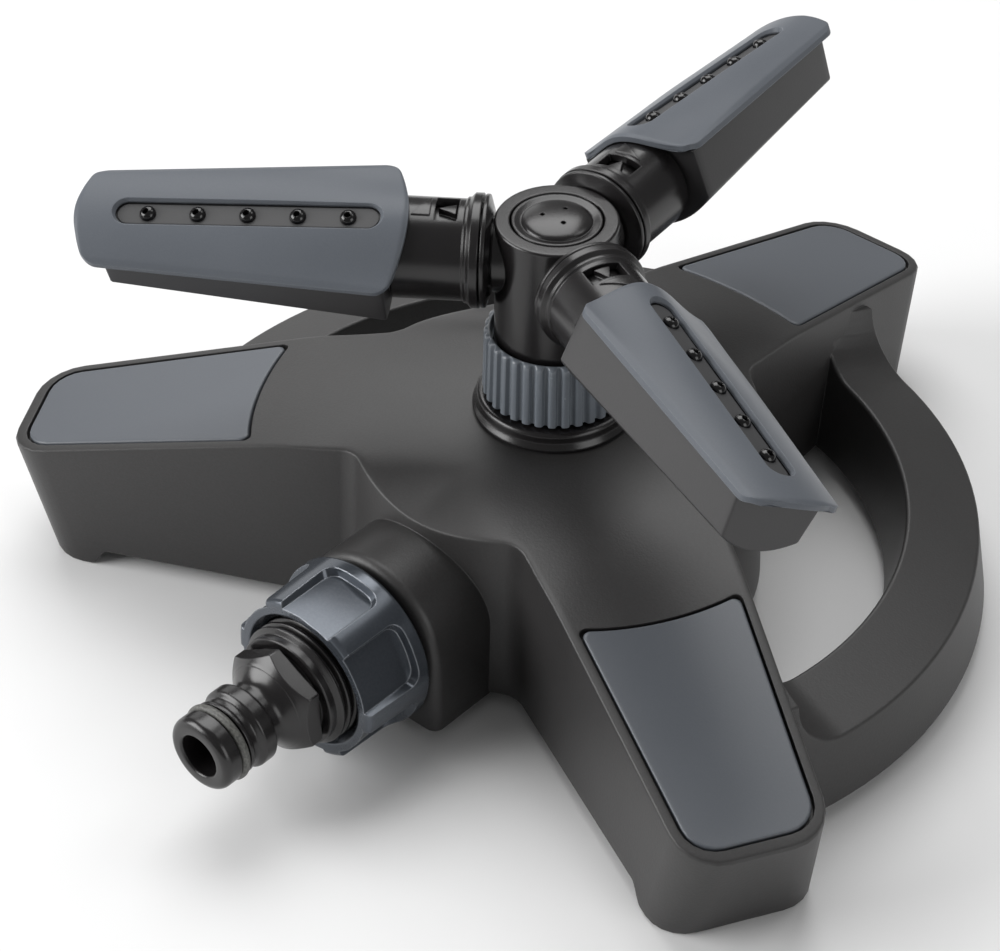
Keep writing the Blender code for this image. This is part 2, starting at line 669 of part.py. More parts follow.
def strap_mesh(name, start_leg, end_leg):
    # One hollow band from the side of one leg to the side of the next, open underneath. Its top
    # rises into both legs in a hollow quarter round.
    middle = (STRAP_TOP_INNER_RADIUS + STRAP_TOP_OUTER_RADIUS) / 2.0
    side = leg_half_width(middle)
    full_rise = leg_line(middle) - STRAP_RISE_SHORTFALL - STRAP_HEIGHT
    sector = 360.0 / LEG_COUNT
    reaches = [side - STRAP_SINK]
    for i in range(STRAP_RISE_STEPS + 1):
        reaches.append(side + STRAP_RISE_LENGTH * (i / STRAP_RISE_STEPS) ** STRAP_RISE_CROWDING)
    turns = [math.degrees(math.asin(reach / middle)) for reach in reaches]
    level = sector / 2.0 - turns[-1]
    turns += [turns[-1] + level * i / (STRAP_STEPS + 0.5) for i in range(1, STRAP_STEPS + 1)]
    turns += [sector - turn for turn in turns[::-1]]
    rings = []
    for turn in turns:
        across = middle * math.sin(math.radians(min(turn, sector - turn)))
        rise = min(max(1.0 - (across - side) / STRAP_RISE_LENGTH, 0.0), 1.0)
        top = STRAP_HEIGHT + full_rise * (1.0 - math.sqrt(1.0 - rise * rise))
        lean = STRAP_RISE_LEAN * (top - STRAP_HEIGHT) / (STRAP_HEIGHT - SKIRT_CLEARANCE)
        angle = math.radians(mix(start_leg, end_leg, turn / sector))
        section = [
            (STRAP_FOOT_OUTER_RADIUS, SKIRT_CLEARANCE),
            (mix(STRAP_TOP_OUTER_RADIUS, STRAP_FOOT_OUTER_RADIUS, -lean), top - STRAP_FALL),
            (mix(STRAP_TOP_INNER_RADIUS, STRAP_FOOT_INNER_RADIUS, -lean), top + STRAP_FALL),
            (STRAP_FOOT_INNER_RADIUS, SKIRT_CLEARANCE),
            (STRAP_FOOT_INNER_RADIUS + WALL, SKIRT_CLEARANCE),
            (STRAP_TOP_INNER_RADIUS + WALL, STRAP_HEIGHT - WALL),
            (STRAP_TOP_OUTER_RADIUS - WALL, STRAP_HEIGHT - WALL),
            (STRAP_FOOT_OUTER_RADIUS - WALL, SKIRT_CLEARANCE),
        ]
        rings.append([(r * math.cos(angle), r * math.sin(angle), z) for r, z in section])
    return skinned_mesh(name, rings)


def arch_outline(radius, bottom):
    # Upright arch about the inlet axis, as (across, height) points.
    points = arc((0.0, INLET_HEIGHT), radius, 0.0, 180.0, ARCH_STEPS)
    return points + [(-radius, bottom), (radius, bottom)]


def arch_mesh(name, radius, bottom, start, end):
    rings = []
    for place in (start, end):
        rings.append([(x, -place, z) for x, z in arch_outline(radius, bottom)])
    return skinned_mesh(name, rings)


def housing_mesh():
    rings = []
    start = SKIRT_RADIUS - HOUSING_SINK
    rings.append([(x, -start, z) for x, z in arch_outline(HOUSING_RADIUS, SKIRT_CLEARANCE)])
    for i in range(FILLET_STEPS + 1):
        turn = math.radians(90.0 * i / FILLET_STEPS)
        inset = HOUSING_EDGE_RADIUS * (1.0 - math.cos(turn))
        place = HOUSING_REACH - HOUSING_EDGE_RADIUS * (1.0 - math.sin(turn))
        outline = arch_outline(HOUSING_RADIUS - inset, SKIRT_CLEARANCE)
        rings.append([(x, -place, z) for x, z in outline])
    return skinned_mesh("inlet_housing", rings)


def panel_outline(margin):
    # Rounded four-sided outline in the leg's frame, with an inner end that follows the hub.
    outer = PANEL_OUTER_REACH + margin
    outer_half = PANEL_OUTER_HALF_WIDTH + margin
    inner_half = leg_half_width(PANEL_INNER_REACH) - PANEL_INNER_MARGIN + margin
    inner_radius = PANEL_INNER_REACH - margin
    inner_along = math.sqrt(inner_radius ** 2 - inner_half ** 2)
    half_angle = math.degrees(math.asin(inner_half / inner_radius))
    trim = math.degrees(PANEL_INNER_CORNER / inner_radius)
    points = round_corner((inner_along, outer_half), (outer, outer_half), (outer, 0.0),
                          PANEL_OUTER_CORNER, CORNER_STEPS)
    points += [(along, -across) for along, across in points[::-1]]
    end = arc((0.0, 0.0), inner_radius, -half_angle, half_angle, PANEL_END_STEPS)
    inner = [(along, across) for along, across in end
             if abs(math.degrees(math.atan2(across, along))) < half_angle - trim]
    before = (outer, -outer_half)
    points += round_corner(before, end[0], inner[0], PANEL_INNER_CORNER, FILLET_STEPS)
    points += inner
    points += round_corner(inner[-1], end[-1], (outer, outer_half), PANEL_INNER_CORNER, FILLET_STEPS)
    return points


def panel_mesh(name, index, margin, bottom, top):
    # Bottom and top are measured square to the leg's sloping surface.
    turn = Matrix.Rotation(math.radians(leg_angle(index)), 4, "Z")
    tilt = Matrix.Rotation(math.radians(LEG_SLOPE), 4, "Y")
    middle = (PANEL_OUTER_REACH + PANEL_INNER_REACH) / 2.0
    seat = Matrix.Translation((middle, 0.0, leg_line(middle)))
    rings = []
    for height in (bottom, top):
        points = [Vector((along - middle, across, height)) for along, across in panel_outline(margin)]
        rings.append([tuple(turn @ seat @ tilt @ point) for point in points])
    return skinned_mesh(name, rings)


def disc_mesh(name, radius, bottom, top, centre=(0.0, 0.0), steps=SMALL_STEPS):
    outline = arc(centre, radius, 0.0, 360.0 * (steps - 1) / steps, steps - 1)
    return prism_mesh(name, outline, bottom, top)


def rod_mesh(name, radius, start, end, steps=SMALL_STEPS):
    # A solid round bar along X.
    outline = arc((0.0, 0.0), radius, 0.0, 360.0 * (steps - 1) / steps, steps - 1)
    return skinned_mesh(name, [[(x, y, z) for y, z in outline] for x in (start, end)])


def ring_outline(radius, thickness, place, steps=RING_STEPS):
    return arc((radius, place), thickness / 2.0, 0.0, 360.0 * (steps - 1) / steps, steps - 1)


def screw_places():
    for index in range(LEG_COUNT):
        turn = math.radians(leg_angle(index))
        yield index, (SCREW_CIRCLE_RADIUS * math.cos(turn), SCREW_CIRCLE_RADIUS * math.sin(turn))


def make_base(root):
    shell = place("base_shell", skinned_mesh("base_shell", base_shell_rings(), close_path=True),
                  CHARCOAL, root)
    join(shell, strap_mesh("left_strap", 90.0, 210.0))
    join(shell, strap_mesh("right_strap", 90.0, -30.0))
    join(shell, housing_mesh())
    tunnel_end = HOUSING_REACH - WALL
    cut(shell, arch_mesh("tunnel", HOUSING_RADIUS - WALL, -SKIRT_CLEARANCE,
                         tunnel_end - TUNNEL_LENGTH, tunnel_end))
    hole = rod_mesh("spigot_hole", SPIGOT_RADIUS + FIT_GAP, HOUSING_REACH - 2.0 * WALL,
                    HOUSING_REACH + WALL)
    hole.transform(Matrix.Translation((0.0, 0.0, INLET_HEIGHT)) @ Matrix.Rotation(-math.pi / 2.0, 4, "Z"))
    cut(shell, hole)
    boss_bottom = DUCT_PLATE_HEIGHT + DUCT_PLATE_THICKNESS + FIT_GAP
    for index, centre in screw_places():
        boss_top = crown_height(*centre) - TOP_WALL / 2.0
        join(shell, disc_mesh(f"boss_{index}", SCREW_BOSS_RADIUS, boss_bottom, boss_top, centre,
                              BOSS_STEPS))
        pilot_top = DUCT_PLATE_HEIGHT + SCREW_LENGTH + FIT_GAP
        cut(shell, disc_mesh(f"pilot_{index}", SCREW_RADIUS + FIT_GAP, boss_bottom - WALL, pilot_top,
                             centre, TINY_STEPS))
    for index in range(LEG_COUNT):
        cut(shell, panel_mesh(f"panel_bed_{index}", index, GROOVE_GAP, -PANEL_DEPTH, PANEL_DEPTH))
        place(f"leg_panel_{index + 1}",
              panel_mesh(f"leg_panel_{index + 1}", index, 0.0, FIT_GAP - PANEL_DEPTH, PANEL_PROUD),
              SLATE, root)
    return shell


def make_duct(root):
    outline = [(0.0, INLET_HEIGHT - RISER_RADIUS), (RISER_RADIUS, INLET_HEIGHT - RISER_RADIUS),
               (RISER_RADIUS, RISER_TOP), (0.0, RISER_TOP)]
    duct = place("water_duct", turned_mesh("water_duct", outline, SMALL_STEPS), BLACK_PLASTIC, root)
    pipe_end = HOUSING_REACH - WALL - FIT_GAP - SPIGOT_FLANGE_LENGTH
    turn = Matrix.Translation((0.0, 0.0, INLET_HEIGHT)) @ Matrix.Rotation(-math.pi / 2.0, 4, "Z")
    pipe = rod_mesh("duct_pipe", DUCT_RADIUS, 0.0, pipe_end)
    pipe.transform(turn)
    join(duct, pipe)
    join(duct, disc_mesh("duct_plate", DUCT_PLATE_RADIUS, DUCT_PLATE_HEIGHT,
                         DUCT_PLATE_HEIGHT + DUCT_PLATE_THICKNESS, steps=ROUND_STEPS))
    bore = rod_mesh("duct_bore", DUCT_BORE_RADIUS, 0.0, pipe_end + WALL)
    bore.transform(turn)
    cut(duct, bore)
    cut(duct, disc_mesh("riser_bore", DUCT_BORE_RADIUS, INLET_HEIGHT, RISER_TOP + WALL))
    for index, centre in screw_places():
        cut(duct, disc_mesh(f"screw_hole_{index}", SCREW_RADIUS + FIT_GAP, DUCT_PLATE_HEIGHT - WALL,
                            DUCT_PLATE_HEIGHT + 2.0 * DUCT_PLATE_THICKNESS, centre, TINY_STEPS))
        head_top = DUCT_PLATE_HEIGHT - FIT_GAP
        head = [(0.0, head_top - SCREW_HEAD_HEIGHT), (SCREW_HEAD_CROWN, head_top - SCREW_HEAD_HEIGHT),
                (SCREW_HEAD_RADIUS, head_top - SCREW_HEAD_EDGE), (SCREW_HEAD_RADIUS, head_top),
                (SCREW_RADIUS, head_top), (SCREW_RADIUS, head_top + SCREW_LENGTH - SCREW_RADIUS),
                (0.0, head_top + SCREW_LENGTH)]
        screw = place(f"duct_screw_{index + 1}", turned_mesh(f"duct_screw_{index + 1}", head, TINY_STEPS),
                      STEEL, root)
        screw.location = (centre[0], centre[1], 0.0)
    return duct


def make_spigot(inlet):
    inside = HOUSING_REACH - WALL - FIT_GAP
    tail = inside - SPIGOT_TAIL_LENGTH
    outline = [
        (DUCT_RADIUS + FIT_GAP, tail),
        (SPIGOT_FLANGE_RADIUS, tail),
        (SPIGOT_FLANGE_RADIUS, inside),
        (SPIGOT_RADIUS, inside),
        (SPIGOT_RADIUS, SPIGOT_END - SPIGOT_FLANGE_LENGTH),
        (SPIGOT_FLANGE_RADIUS, SPIGOT_END - SPIGOT_FLANGE_LENGTH),
        (SPIGOT_FLANGE_RADIUS, SPIGOT_END),
        (DUCT_BORE_RADIUS, SPIGOT_END),
        (DUCT_BORE_RADIUS, inside - SPIGOT_FLANGE_LENGTH + FIT_GAP),
        (DUCT_RADIUS + FIT_GAP, inside - SPIGOT_FLANGE_LENGTH + FIT_GAP),
    ]
    place("inlet_spigot", turned_mesh("inlet_spigot", outline, ROUND_STEPS, "X"), BLACK_PLASTIC, inlet)


def nut_pocket_mesh(name, middle):
    # A block with two round corners at its back, flared outwards, that opens the nut's front.
    floor = NUT_RADIUS - NUT_POCKET_DEPTH
    front = NUT_END + WALL
    rings = []
    for radius, flare in ((floor, 0.0), (NUT_RADIUS + NUT_POCKET_DEPTH, NUT_POCKET_FLARE)):
        half = floor * math.radians(NUT_POCKET_ANGLE) / 2.0 + flare
        back = NUT_POCKET_START - flare
        outline = [(front, half), (front, 0.0), (front, -half)]
        outline += round_corner((front, -half), (back, -half), (back, 0.0), NUT_POCKET_CORNER, FILLET_STEPS)
        outline.append((back, 0.0))
        outline += round_corner((back, 0.0), (back, half), (front, half), NUT_POCKET_CORNER, FILLET_STEPS)
        ring = []
        for along, across in outline:
            turn = math.radians(middle) + across / floor
            ring.append((along, radius * math.cos(turn), radius * math.sin(turn)))
        rings.append(ring)
    return skinned_mesh(name, rings)


def make_nut(swivel):
    bore = SPIGOT_RADIUS + FIT_GAP
    thread = THREAD_RADIUS + FIT_GAP
    mouth = THREAD_RADIUS + NUT_MOUTH_RISE
    front = NUT_RADIUS - NUT_FRONT_DRAFT
    outline = [
        (bore, NUT_START),
        (NUT_RADIUS - NUT_BACK_CHAMFER, NUT_START),
        (NUT_RADIUS, NUT_START + NUT_BACK_CHAMFER),
        (front, NUT_END - NUT_FRONT_CHAMFER),
        (front - NUT_FRONT_CHAMFER, NUT_END),
        (mouth, NUT_END),
        (thread, NUT_END - NUT_MOUTH_DEPTH),
        (thread, NUT_START + NUT_BACK_WALL),
        (bore, NUT_START + NUT_BACK_WALL),
    ]
    nut = place("swivel_nut", turned_mesh("swivel_nut", outline, NUT_STEPS, "X"), SLATE_LIGHT, swivel)
    for index in range(NUT_POCKETS):
        middle = 90.0 + NUT_TURN + 360.0 * index / NUT_POCKETS
        cut(nut, nut_pocket_mesh(f"nut_pocket_{index}", middle))
    washer_start = SPIGOT_END + FIT_GAP
    washer = [(WASHER_BORE_RADIUS, washer_start), (THREAD_RADIUS, washer_start),
              (THREAD_RADIUS, washer_start + WASHER_THICKNESS),
              (WASHER_BORE_RADIUS, washer_start + WASHER_THICKNESS)]
    place("sealing_washer", turned_mesh("sealing_washer", washer, SMALL_STEPS, "X"), RUBBER, swivel)


def thread_outline(start, end):
    # Ridges of the thread, drawn as plain rings between two places along the plug.
    root_radius = THREAD_RADIUS - THREAD_DEPTH
    points = [(root_radius, start)]
    ridge = start + THREAD_PITCH / 2.0
    while ridge + THREAD_PITCH < end - THREAD_PITCH / 2.0:
        points += [(root_radius, ridge), (THREAD_RADIUS, ridge + THREAD_PITCH * THREAD_CREST_START),
                   (THREAD_RADIUS, ridge + THREAD_PITCH * THREAD_CREST_END)]
        ridge += THREAD_PITCH
    return points + [(root_radius, end)]


def plug_outline():
    start = SPIGOT_END + 2.0 * FIT_GAP + WASHER_THICKNESS
    points = [(PLUG_BORE_RADIUS, start)] + thread_outline(start, PLUG_HEX_START)
    hex_corner = PLUG_HEX_WIDTH / math.sqrt(3.0)
    waist_start = hex_corner - PLUG_HEX_CHAMFER
    points += [(hex_corner, PLUG_HEX_START), (hex_corner, PLUG_HEX_END - PLUG_HEX_CHAMFER_LENGTH),
               (waist_start, PLUG_HEX_END)]
    for i in range(1, CORNER_STEPS):
        share = i / CORNER_STEPS
        points.append((mix(waist_start, PLUG_NECK_RADIUS, math.sin(math.pi / 2.0 * share)),
                       mix(PLUG_HEX_END, PLUG_NECK_PLACE, share)))
    ridge_back = PLUG_RIDGE_PLACE - PLUG_RIDGE_WIDTH / 2.0
    ridge_front = PLUG_RIDGE_PLACE + PLUG_RIDGE_WIDTH / 2.0
    ridge_edge = PLUG_RIDGE_RADIUS - PLUG_RIDGE_CHAMFER
    ring_back = PLUG_RING_PLACE - PLUG_RING_THICKNESS / 2.0 - FIT_GAP
    ring_front = PLUG_RING_PLACE + PLUG_RING_THICKNESS / 2.0 + FIT_GAP
    shoulder = ring_back - PLUG_SHOULDER_WIDTH
    points += [
        (PLUG_NECK_RADIUS, PLUG_NECK_PLACE),
        (PLUG_NECK_RADIUS, ridge_back - PLUG_RIDGE_CHAMFER),
        (ridge_edge, ridge_back),
        (PLUG_RIDGE_RADIUS, ridge_back + PLUG_RIDGE_CHAMFER),
        (PLUG_RIDGE_RADIUS, ridge_front - PLUG_RIDGE_CHAMFER),
        (ridge_edge, ridge_front),
        (PLUG_GROOVE_RADIUS, ridge_front + PLUG_RIDGE_CHAMFER),
        (PLUG_GROOVE_RADIUS, shoulder - PLUG_SHOULDER_SLOPE),
        (PLUG_NOSE_RADIUS, shoulder),
        (PLUG_NOSE_RADIUS, ring_back),
        (PLUG_RING_BED_RADIUS, ring_back),
        (PLUG_RING_BED_RADIUS, ring_front),
        (PLUG_NOSE_RADIUS, ring_front),
    ]
    nose = arc((PLUG_NOSE_RADIUS - PLUG_NOSE_ROUNDING, PLUG_END - PLUG_NOSE_ROUNDING),
               PLUG_NOSE_ROUNDING, 0.0, 90.0, CORNER_STEPS)
    return points + nose + [(PLUG_BORE_RADIUS, PLUG_END)]


def make_plug(swivel):
    plug = place("inlet_plug", turned_mesh("inlet_plug", plug_outline(), PLUG_STEPS, "X"),
                 GLOSSY_BLACK, swivel)
    for index in range(6):
        turn = Matrix.Rotation(math.radians(60.0 * index + PLUG_HEX_TURN), 4, "X")
        flat = box_mesh(f"hex_flat_{index}",
                        (PLUG_HEX_START + PLUG_HEX_LIP, -THREAD_RADIUS, PLUG_HEX_WIDTH / 2.0),
                        (PLUG_HEX_END + 2.0 * PLUG_HEX_LIP, THREAD_RADIUS, 2.0 * THREAD_RADIUS))
        flat.transform(turn)
        cut(plug, flat)
    ring_radius = PLUG_RING_BED_RADIUS + FIT_GAP / 2.0 + PLUG_RING_THICKNESS / 2.0
    ring = ring_outline(ring_radius, PLUG_RING_THICKNESS, PLUG_RING_PLACE)
    place("plug_o_ring", turned_mesh("plug_o_ring", ring, SMALL_STEPS, "X"), RUBBER, swivel)


def make_seat(root):
    bore = SPINDLE_RADIUS + FIT_GAP
    flange_bottom = SEAT_HEIGHT + FIT_GAP
    spindle_bottom = RISER_TOP + FIT_GAP
    spindle_flange_top = spindle_bottom + SPINDLE_FLANGE_THICKNESS
    barrel_bottom = spindle_flange_top + FIT_GAP
    outline = [
        (bore, barrel_bottom),
        (SEAT_BARREL_RADIUS, barrel_bottom),
        (SEAT_BARREL_RADIUS, flange_bottom),
        (SEAT_FLANGE_RADIUS, flange_bottom),
        (SEAT_FLANGE_RADIUS, flange_bottom + SEAT_FLANGE_EDGE),
        (SEAT_STEP_RADIUS, flange_bottom + SEAT_FLANGE_THICKNESS),
    ]
    outline += arc((SEAT_STEP_RADIUS - SEAT_ROUNDING, SEAT_STEP_HEIGHT - SEAT_ROUNDING),
                   SEAT_ROUNDING, 0.0, 90.0, FILLET_STEPS)
    outline += [(SEAT_NECK_RADIUS, SEAT_STEP_HEIGHT), (SEAT_NECK_RADIUS, SEAT_NECK_TOP),
                (bore, SEAT_NECK_TOP)]
    place("rotor_seat", turned_mesh("rotor_seat", outline, ROUND_STEPS), GLOSSY_BLACK, root)
    spindle = [
        (SPINDLE_BORE_RADIUS, spindle_bottom),
        (SPINDLE_FLANGE_RADIUS, spindle_bottom),
        (SPINDLE_FLANGE_RADIUS, spindle_flange_top),
        (SPINDLE_RADIUS, spindle_flange_top),
        (SPINDLE_RADIUS, SPINDLE_TOP),
        (SPINDLE_BORE_RADIUS, SPINDLE_TOP),
    ]
    place("spindle", turned_mesh("spindle", spindle, SMALL_STEPS), BLACK_PLASTIC, root)


def make_collar(collar_axis):
    # Plain rings have one point for each rib, ribbed rings have one for each of a rib's shares.
    bore = SEAT_NECK_RADIUS + FIT_GAP
    lip_bore = HUB_RADIUS + FIT_GAP
    flange_top = SEAT_NECK_TOP + 2.0 * FIT_GAP + THRUST_WASHER_THICKNESS + HUB_FLANGE_THICKNESS
    lip_bottom = flange_top + FIT_GAP
    lip_top = lip_bottom + COLLAR_LIP_THICKNESS
    mouth_bore = lip_bore + COLLAR_MOUTH_WIDTH
    flange_bore = HUB_FLANGE_RADIUS + FIT_GAP
    rib = math.tau / COLLAR_RIBS
    first = math.radians(COLLAR_RIB_TURN)

    def plain(radius, height):
        turns = [first + rib * index for index in range(COLLAR_RIBS)]
        return [(radius * math.cos(turn), radius * math.sin(turn), height) for turn in turns]

    def ribbed(radius, height):
        points = []
        for index in range(COLLAR_RIBS):
            for share, depth_share in COLLAR_RIB_SHARES:
                turn = first + rib * (index + share)
                reach = radius - COLLAR_RIB_DEPTH * depth_share
                points.append((reach * math.cos(turn), reach * math.sin(turn), height))
        return points

    rings = [
        plain(bore, COLLAR_BOTTOM),
        ribbed(COLLAR_BOTTOM_RADIUS - COLLAR_FOOT_EDGE, COLLAR_BOTTOM),
        ribbed(COLLAR_BOTTOM_RADIUS, COLLAR_BOTTOM + COLLAR_FOOT_EDGE),
        ribbed(COLLAR_TOP_RADIUS, COLLAR_TOP - COLLAR_TOP_EDGE),
        plain(COLLAR_TOP_RADIUS - COLLAR_RIB_DEPTH, COLLAR_TOP),
        plain(mouth_bore, COLLAR_TOP),
        plain(mouth_bore, lip_top),
        plain(lip_bore, lip_top),
        plain(lip_bore, lip_bottom),
        plain(flange_bore, lip_bottom),
        plain(flange_bore, SEAT_NECK_TOP),
        plain(bore, SEAT_NECK_TOP - FIT_GAP),
    ]
    place("knurled_collar", skinned_mesh("knurled_collar", rings, close_path=True), SLATE, collar_axis)


def hub_arm_angle(index):
    return leg_angle(index) + ARM_LEAD


def make_hub(rotor):
    washer_bottom = SEAT_NECK_TOP + FIT_GAP
    hub_bottom = washer_bottom + THRUST_WASHER_THICKNESS + FIT_GAP
    bore = SPINDLE_RADIUS + FIT_GAP
    washer = [(bore, washer_bottom), (HUB_RADIUS, washer_bottom),
              (HUB_RADIUS, washer_bottom + THRUST_WASHER_THICKNESS),
              (bore, washer_bottom + THRUST_WASHER_THICKNESS)]
    place("thrust_washer", turned_mesh("thrust_washer", washer, SMALL_STEPS), STEEL, rotor)
    seal_bed = hub_bottom + SEAL_THICKNESS + 2.0 * FIT_GAP
    outline = [
        (SEAL_OUTER_RADIUS + FIT_GAP, hub_bottom),
        (HUB_FLANGE_RADIUS, hub_bottom),
        (HUB_FLANGE_RADIUS, hub_bottom + HUB_FLANGE_THICKNESS),
        (HUB_RADIUS, hub_bottom + HUB_FLANGE_THICKNESS),
        (HUB_RADIUS, HUB_TOP - HUB_RIM_CHAMFER),
        (HUB_RADIUS - HUB_RIM_CHAMFER, HUB_TOP),
        (HUB_CHAMBER_RADIUS, HUB_TOP),
        (HUB_CHAMBER_RADIUS, HUB_CHAMBER_BOTTOM),
        (bore, HUB_CHAMBER_BOTTOM),
        (bore, seal_bed),
        (SEAL_OUTER_RADIUS + FIT_GAP, seal_bed),
    ]
    hub = place("hub_body", turned_mesh("hub_body", outline, ROUND_STEPS), GLOSSY_BLACK, rotor)
    for index in range(ARM_COUNT):
        turn = Matrix.Rotation(math.radians(hub_arm_angle(index)), 4, "Z")
        seat = Matrix.Translation((0.0, 0.0, ARM_HEIGHT)) @ turn
        boss = rod_mesh(f"arm_boss_{index}", HUB_BOSS_RADIUS, HUB_CHAMBER_RADIUS + FIT_GAP / 2.0, HUB_RADIUS)
        boss.transform(seat)
        join(hub, boss)
        port = rod_mesh(f"arm_port_{index}", STUB_PIPE_RADIUS + FIT_GAP, 0.0, 2.0 * HUB_RADIUS)
        port.transform(seat)
        cut(hub, port)
    seal_bottom = hub_bottom + FIT_GAP
    seal = [(bore, seal_bottom), (SEAL_OUTER_RADIUS, seal_bottom),
            (SEAL_OUTER_RADIUS, seal_bottom + SEAL_THICKNESS), (bore, seal_bottom + SEAL_THICKNESS)]
    place("rotor_seal", turned_mesh("rotor_seal", seal, SMALL_STEPS), RUBBER, rotor)


def make_cap(rotor):
    rim = HUB_CHAMBER_RADIUS - FIT_GAP
    groove = HUB_TOP - CAP_GROOVE_DEPTH
    outline = [(0.0, HUB_TOP - CAP_DEPTH), (rim, HUB_TOP - CAP_DEPTH), (rim, HUB_TOP - CAP_RIM_EDGE),
               (rim - CAP_RIM_EDGE, HUB_TOP), (CAP_DOME_RADIUS + CAP_GROOVE_WIDTH, groove)]
    for i in range(DOME_STEPS):
        turn = math.pi / 2.0 * i / DOME_STEPS
        outline.append((CAP_DOME_RADIUS * math.cos(turn), groove + CAP_DOME_HEIGHT * math.sin(turn)))
    outline.append((0.0, groove + CAP_DOME_HEIGHT))
    cap = place("hub_cap", turned_mesh("hub_cap", outline, SMALL_STEPS), GLOSSY_BLACK, rotor)
    for index in range(ARM_COUNT):
        turn = math.radians(hub_arm_angle(index))
        centre = (CAP_HOLE_CIRCLE * math.cos(turn), CAP_HOLE_CIRCLE * math.sin(turn))
        cut(cap, disc_mesh(f"cap_hole_{index}", CAP_HOLE_RADIUS, HUB_TOP - CAP_DEPTH / 2.0,
                           HUB_TOP + CAP_DEPTH, centre, TINY_STEPS))


def wedge_mesh(name, radius, height, start, tip, half_width, skew=0.0):
    # A raised arrowhead on a cylinder about X, pointing outwards along the arm.
    # A skew of one puts its point straight out from the left end of its base.
    bm = bmesh.new()
    steps = CORNER_STEPS
    borders = []
    for r in (radius - WEDGE_ROOT, radius + height):
        rows = []
        for k in range(WEDGE_ROWS):
            along = mix(start, tip, k / WEDGE_ROWS)
            row = []
            for i in range(steps + 1):
                across = mix(half_width * (2.0 * i / steps - 1.0), half_width * skew, k / WEDGE_ROWS)
                turn = across / radius
                row.append(bm.verts.new((along, r * math.sin(turn), r * math.cos(turn))))
            rows.append(row)
        turn = half_width * skew / radius
        point = bm.verts.new((tip, r * math.sin(turn), r * math.cos(turn)))
        for below, above in zip(rows, rows[1:]):
            for i in range(steps):
                bm.faces.new((below[i], below[i + 1], above[i + 1], above[i]))
        for i in range(steps):
            bm.faces.new((rows[-1][i], rows[-1][i + 1], point))
        right = [row[-1] for row in rows[1:]]
        left = [row[0] for row in reversed(rows[1:])]
        borders.append(rows[0] + right + [point] + left)
    low, high = borders
    for i in range(len(low)):
        j = (i + 1) % len(low)
        bm.faces.new((low[i], low[j], high[j], high[i]))
    return finish_mesh(bm, name)


def window_mesh(name):
    half = math.radians(WINDOW_HALF_ANGLE)
    inner = STUB_BARREL_RADIUS
    outer = SLEEVE_RADIUS + WALL
    rings = []
    steps = 2 * FILLET_STEPS
    for i in range(steps + 1):
        turn = mix(-half, half, i / steps)
        ring = []
        for along, radius in ((WINDOW_START, inner), (WINDOW_END, inner), (WINDOW_END, outer),
                              (WINDOW_START, outer)):
            ring.append((along, radius * math.sin(turn), radius * math.cos(turn)))
        rings.append(ring)
    return skinned_mesh(name, rings)


def arm_ring_bed():
    return STUB_BARREL_RADIUS - ARM_RING_THICKNESS + FIT_GAP / 2.0


def make_stub(arm, tag):
    groove = ARM_RING_THICKNESS / 2.0 + FIT_GAP / 2.0
    bed = arm_ring_bed()
    outline = [
        (STUB_BORE_RADIUS, STUB_START),
        (STUB_PIPE_RADIUS, STUB_START),
        (STUB_PIPE_RADIUS, HUB_RADIUS + FIT_GAP),
        (STUB_CONE_RADIUS, HUB_RADIUS + FIT_GAP),
        (STUB_FLANGE_RADIUS, STUB_FLANGE_START),
        (STUB_FLANGE_RADIUS, STUB_FLANGE_END),
        (STUB_BARREL_RADIUS, STUB_FLANGE_END),
        (STUB_BARREL_RADIUS, ARM_RING_PLACE - groove),
        (bed, ARM_RING_PLACE - groove),
        (bed, ARM_RING_PLACE + groove),
        (STUB_BARREL_RADIUS, ARM_RING_PLACE + groove),
        (STUB_BARREL_RADIUS, STUB_END),
        (STUB_BORE_RADIUS, STUB_END),
    ]
    stub = place("arm_stub_" + tag, turned_mesh("arm_stub_" + tag, outline, SMALL_STEPS, "X"),
                 GLOSSY_BLACK, arm)
    join(stub, wedge_mesh("pointer_" + tag, STUB_BARREL_RADIUS, POINTER_HEIGHT, POINTER_START,
                          POINTER_START + POINTER_LENGTH, POINTER_HALF_WIDTH))


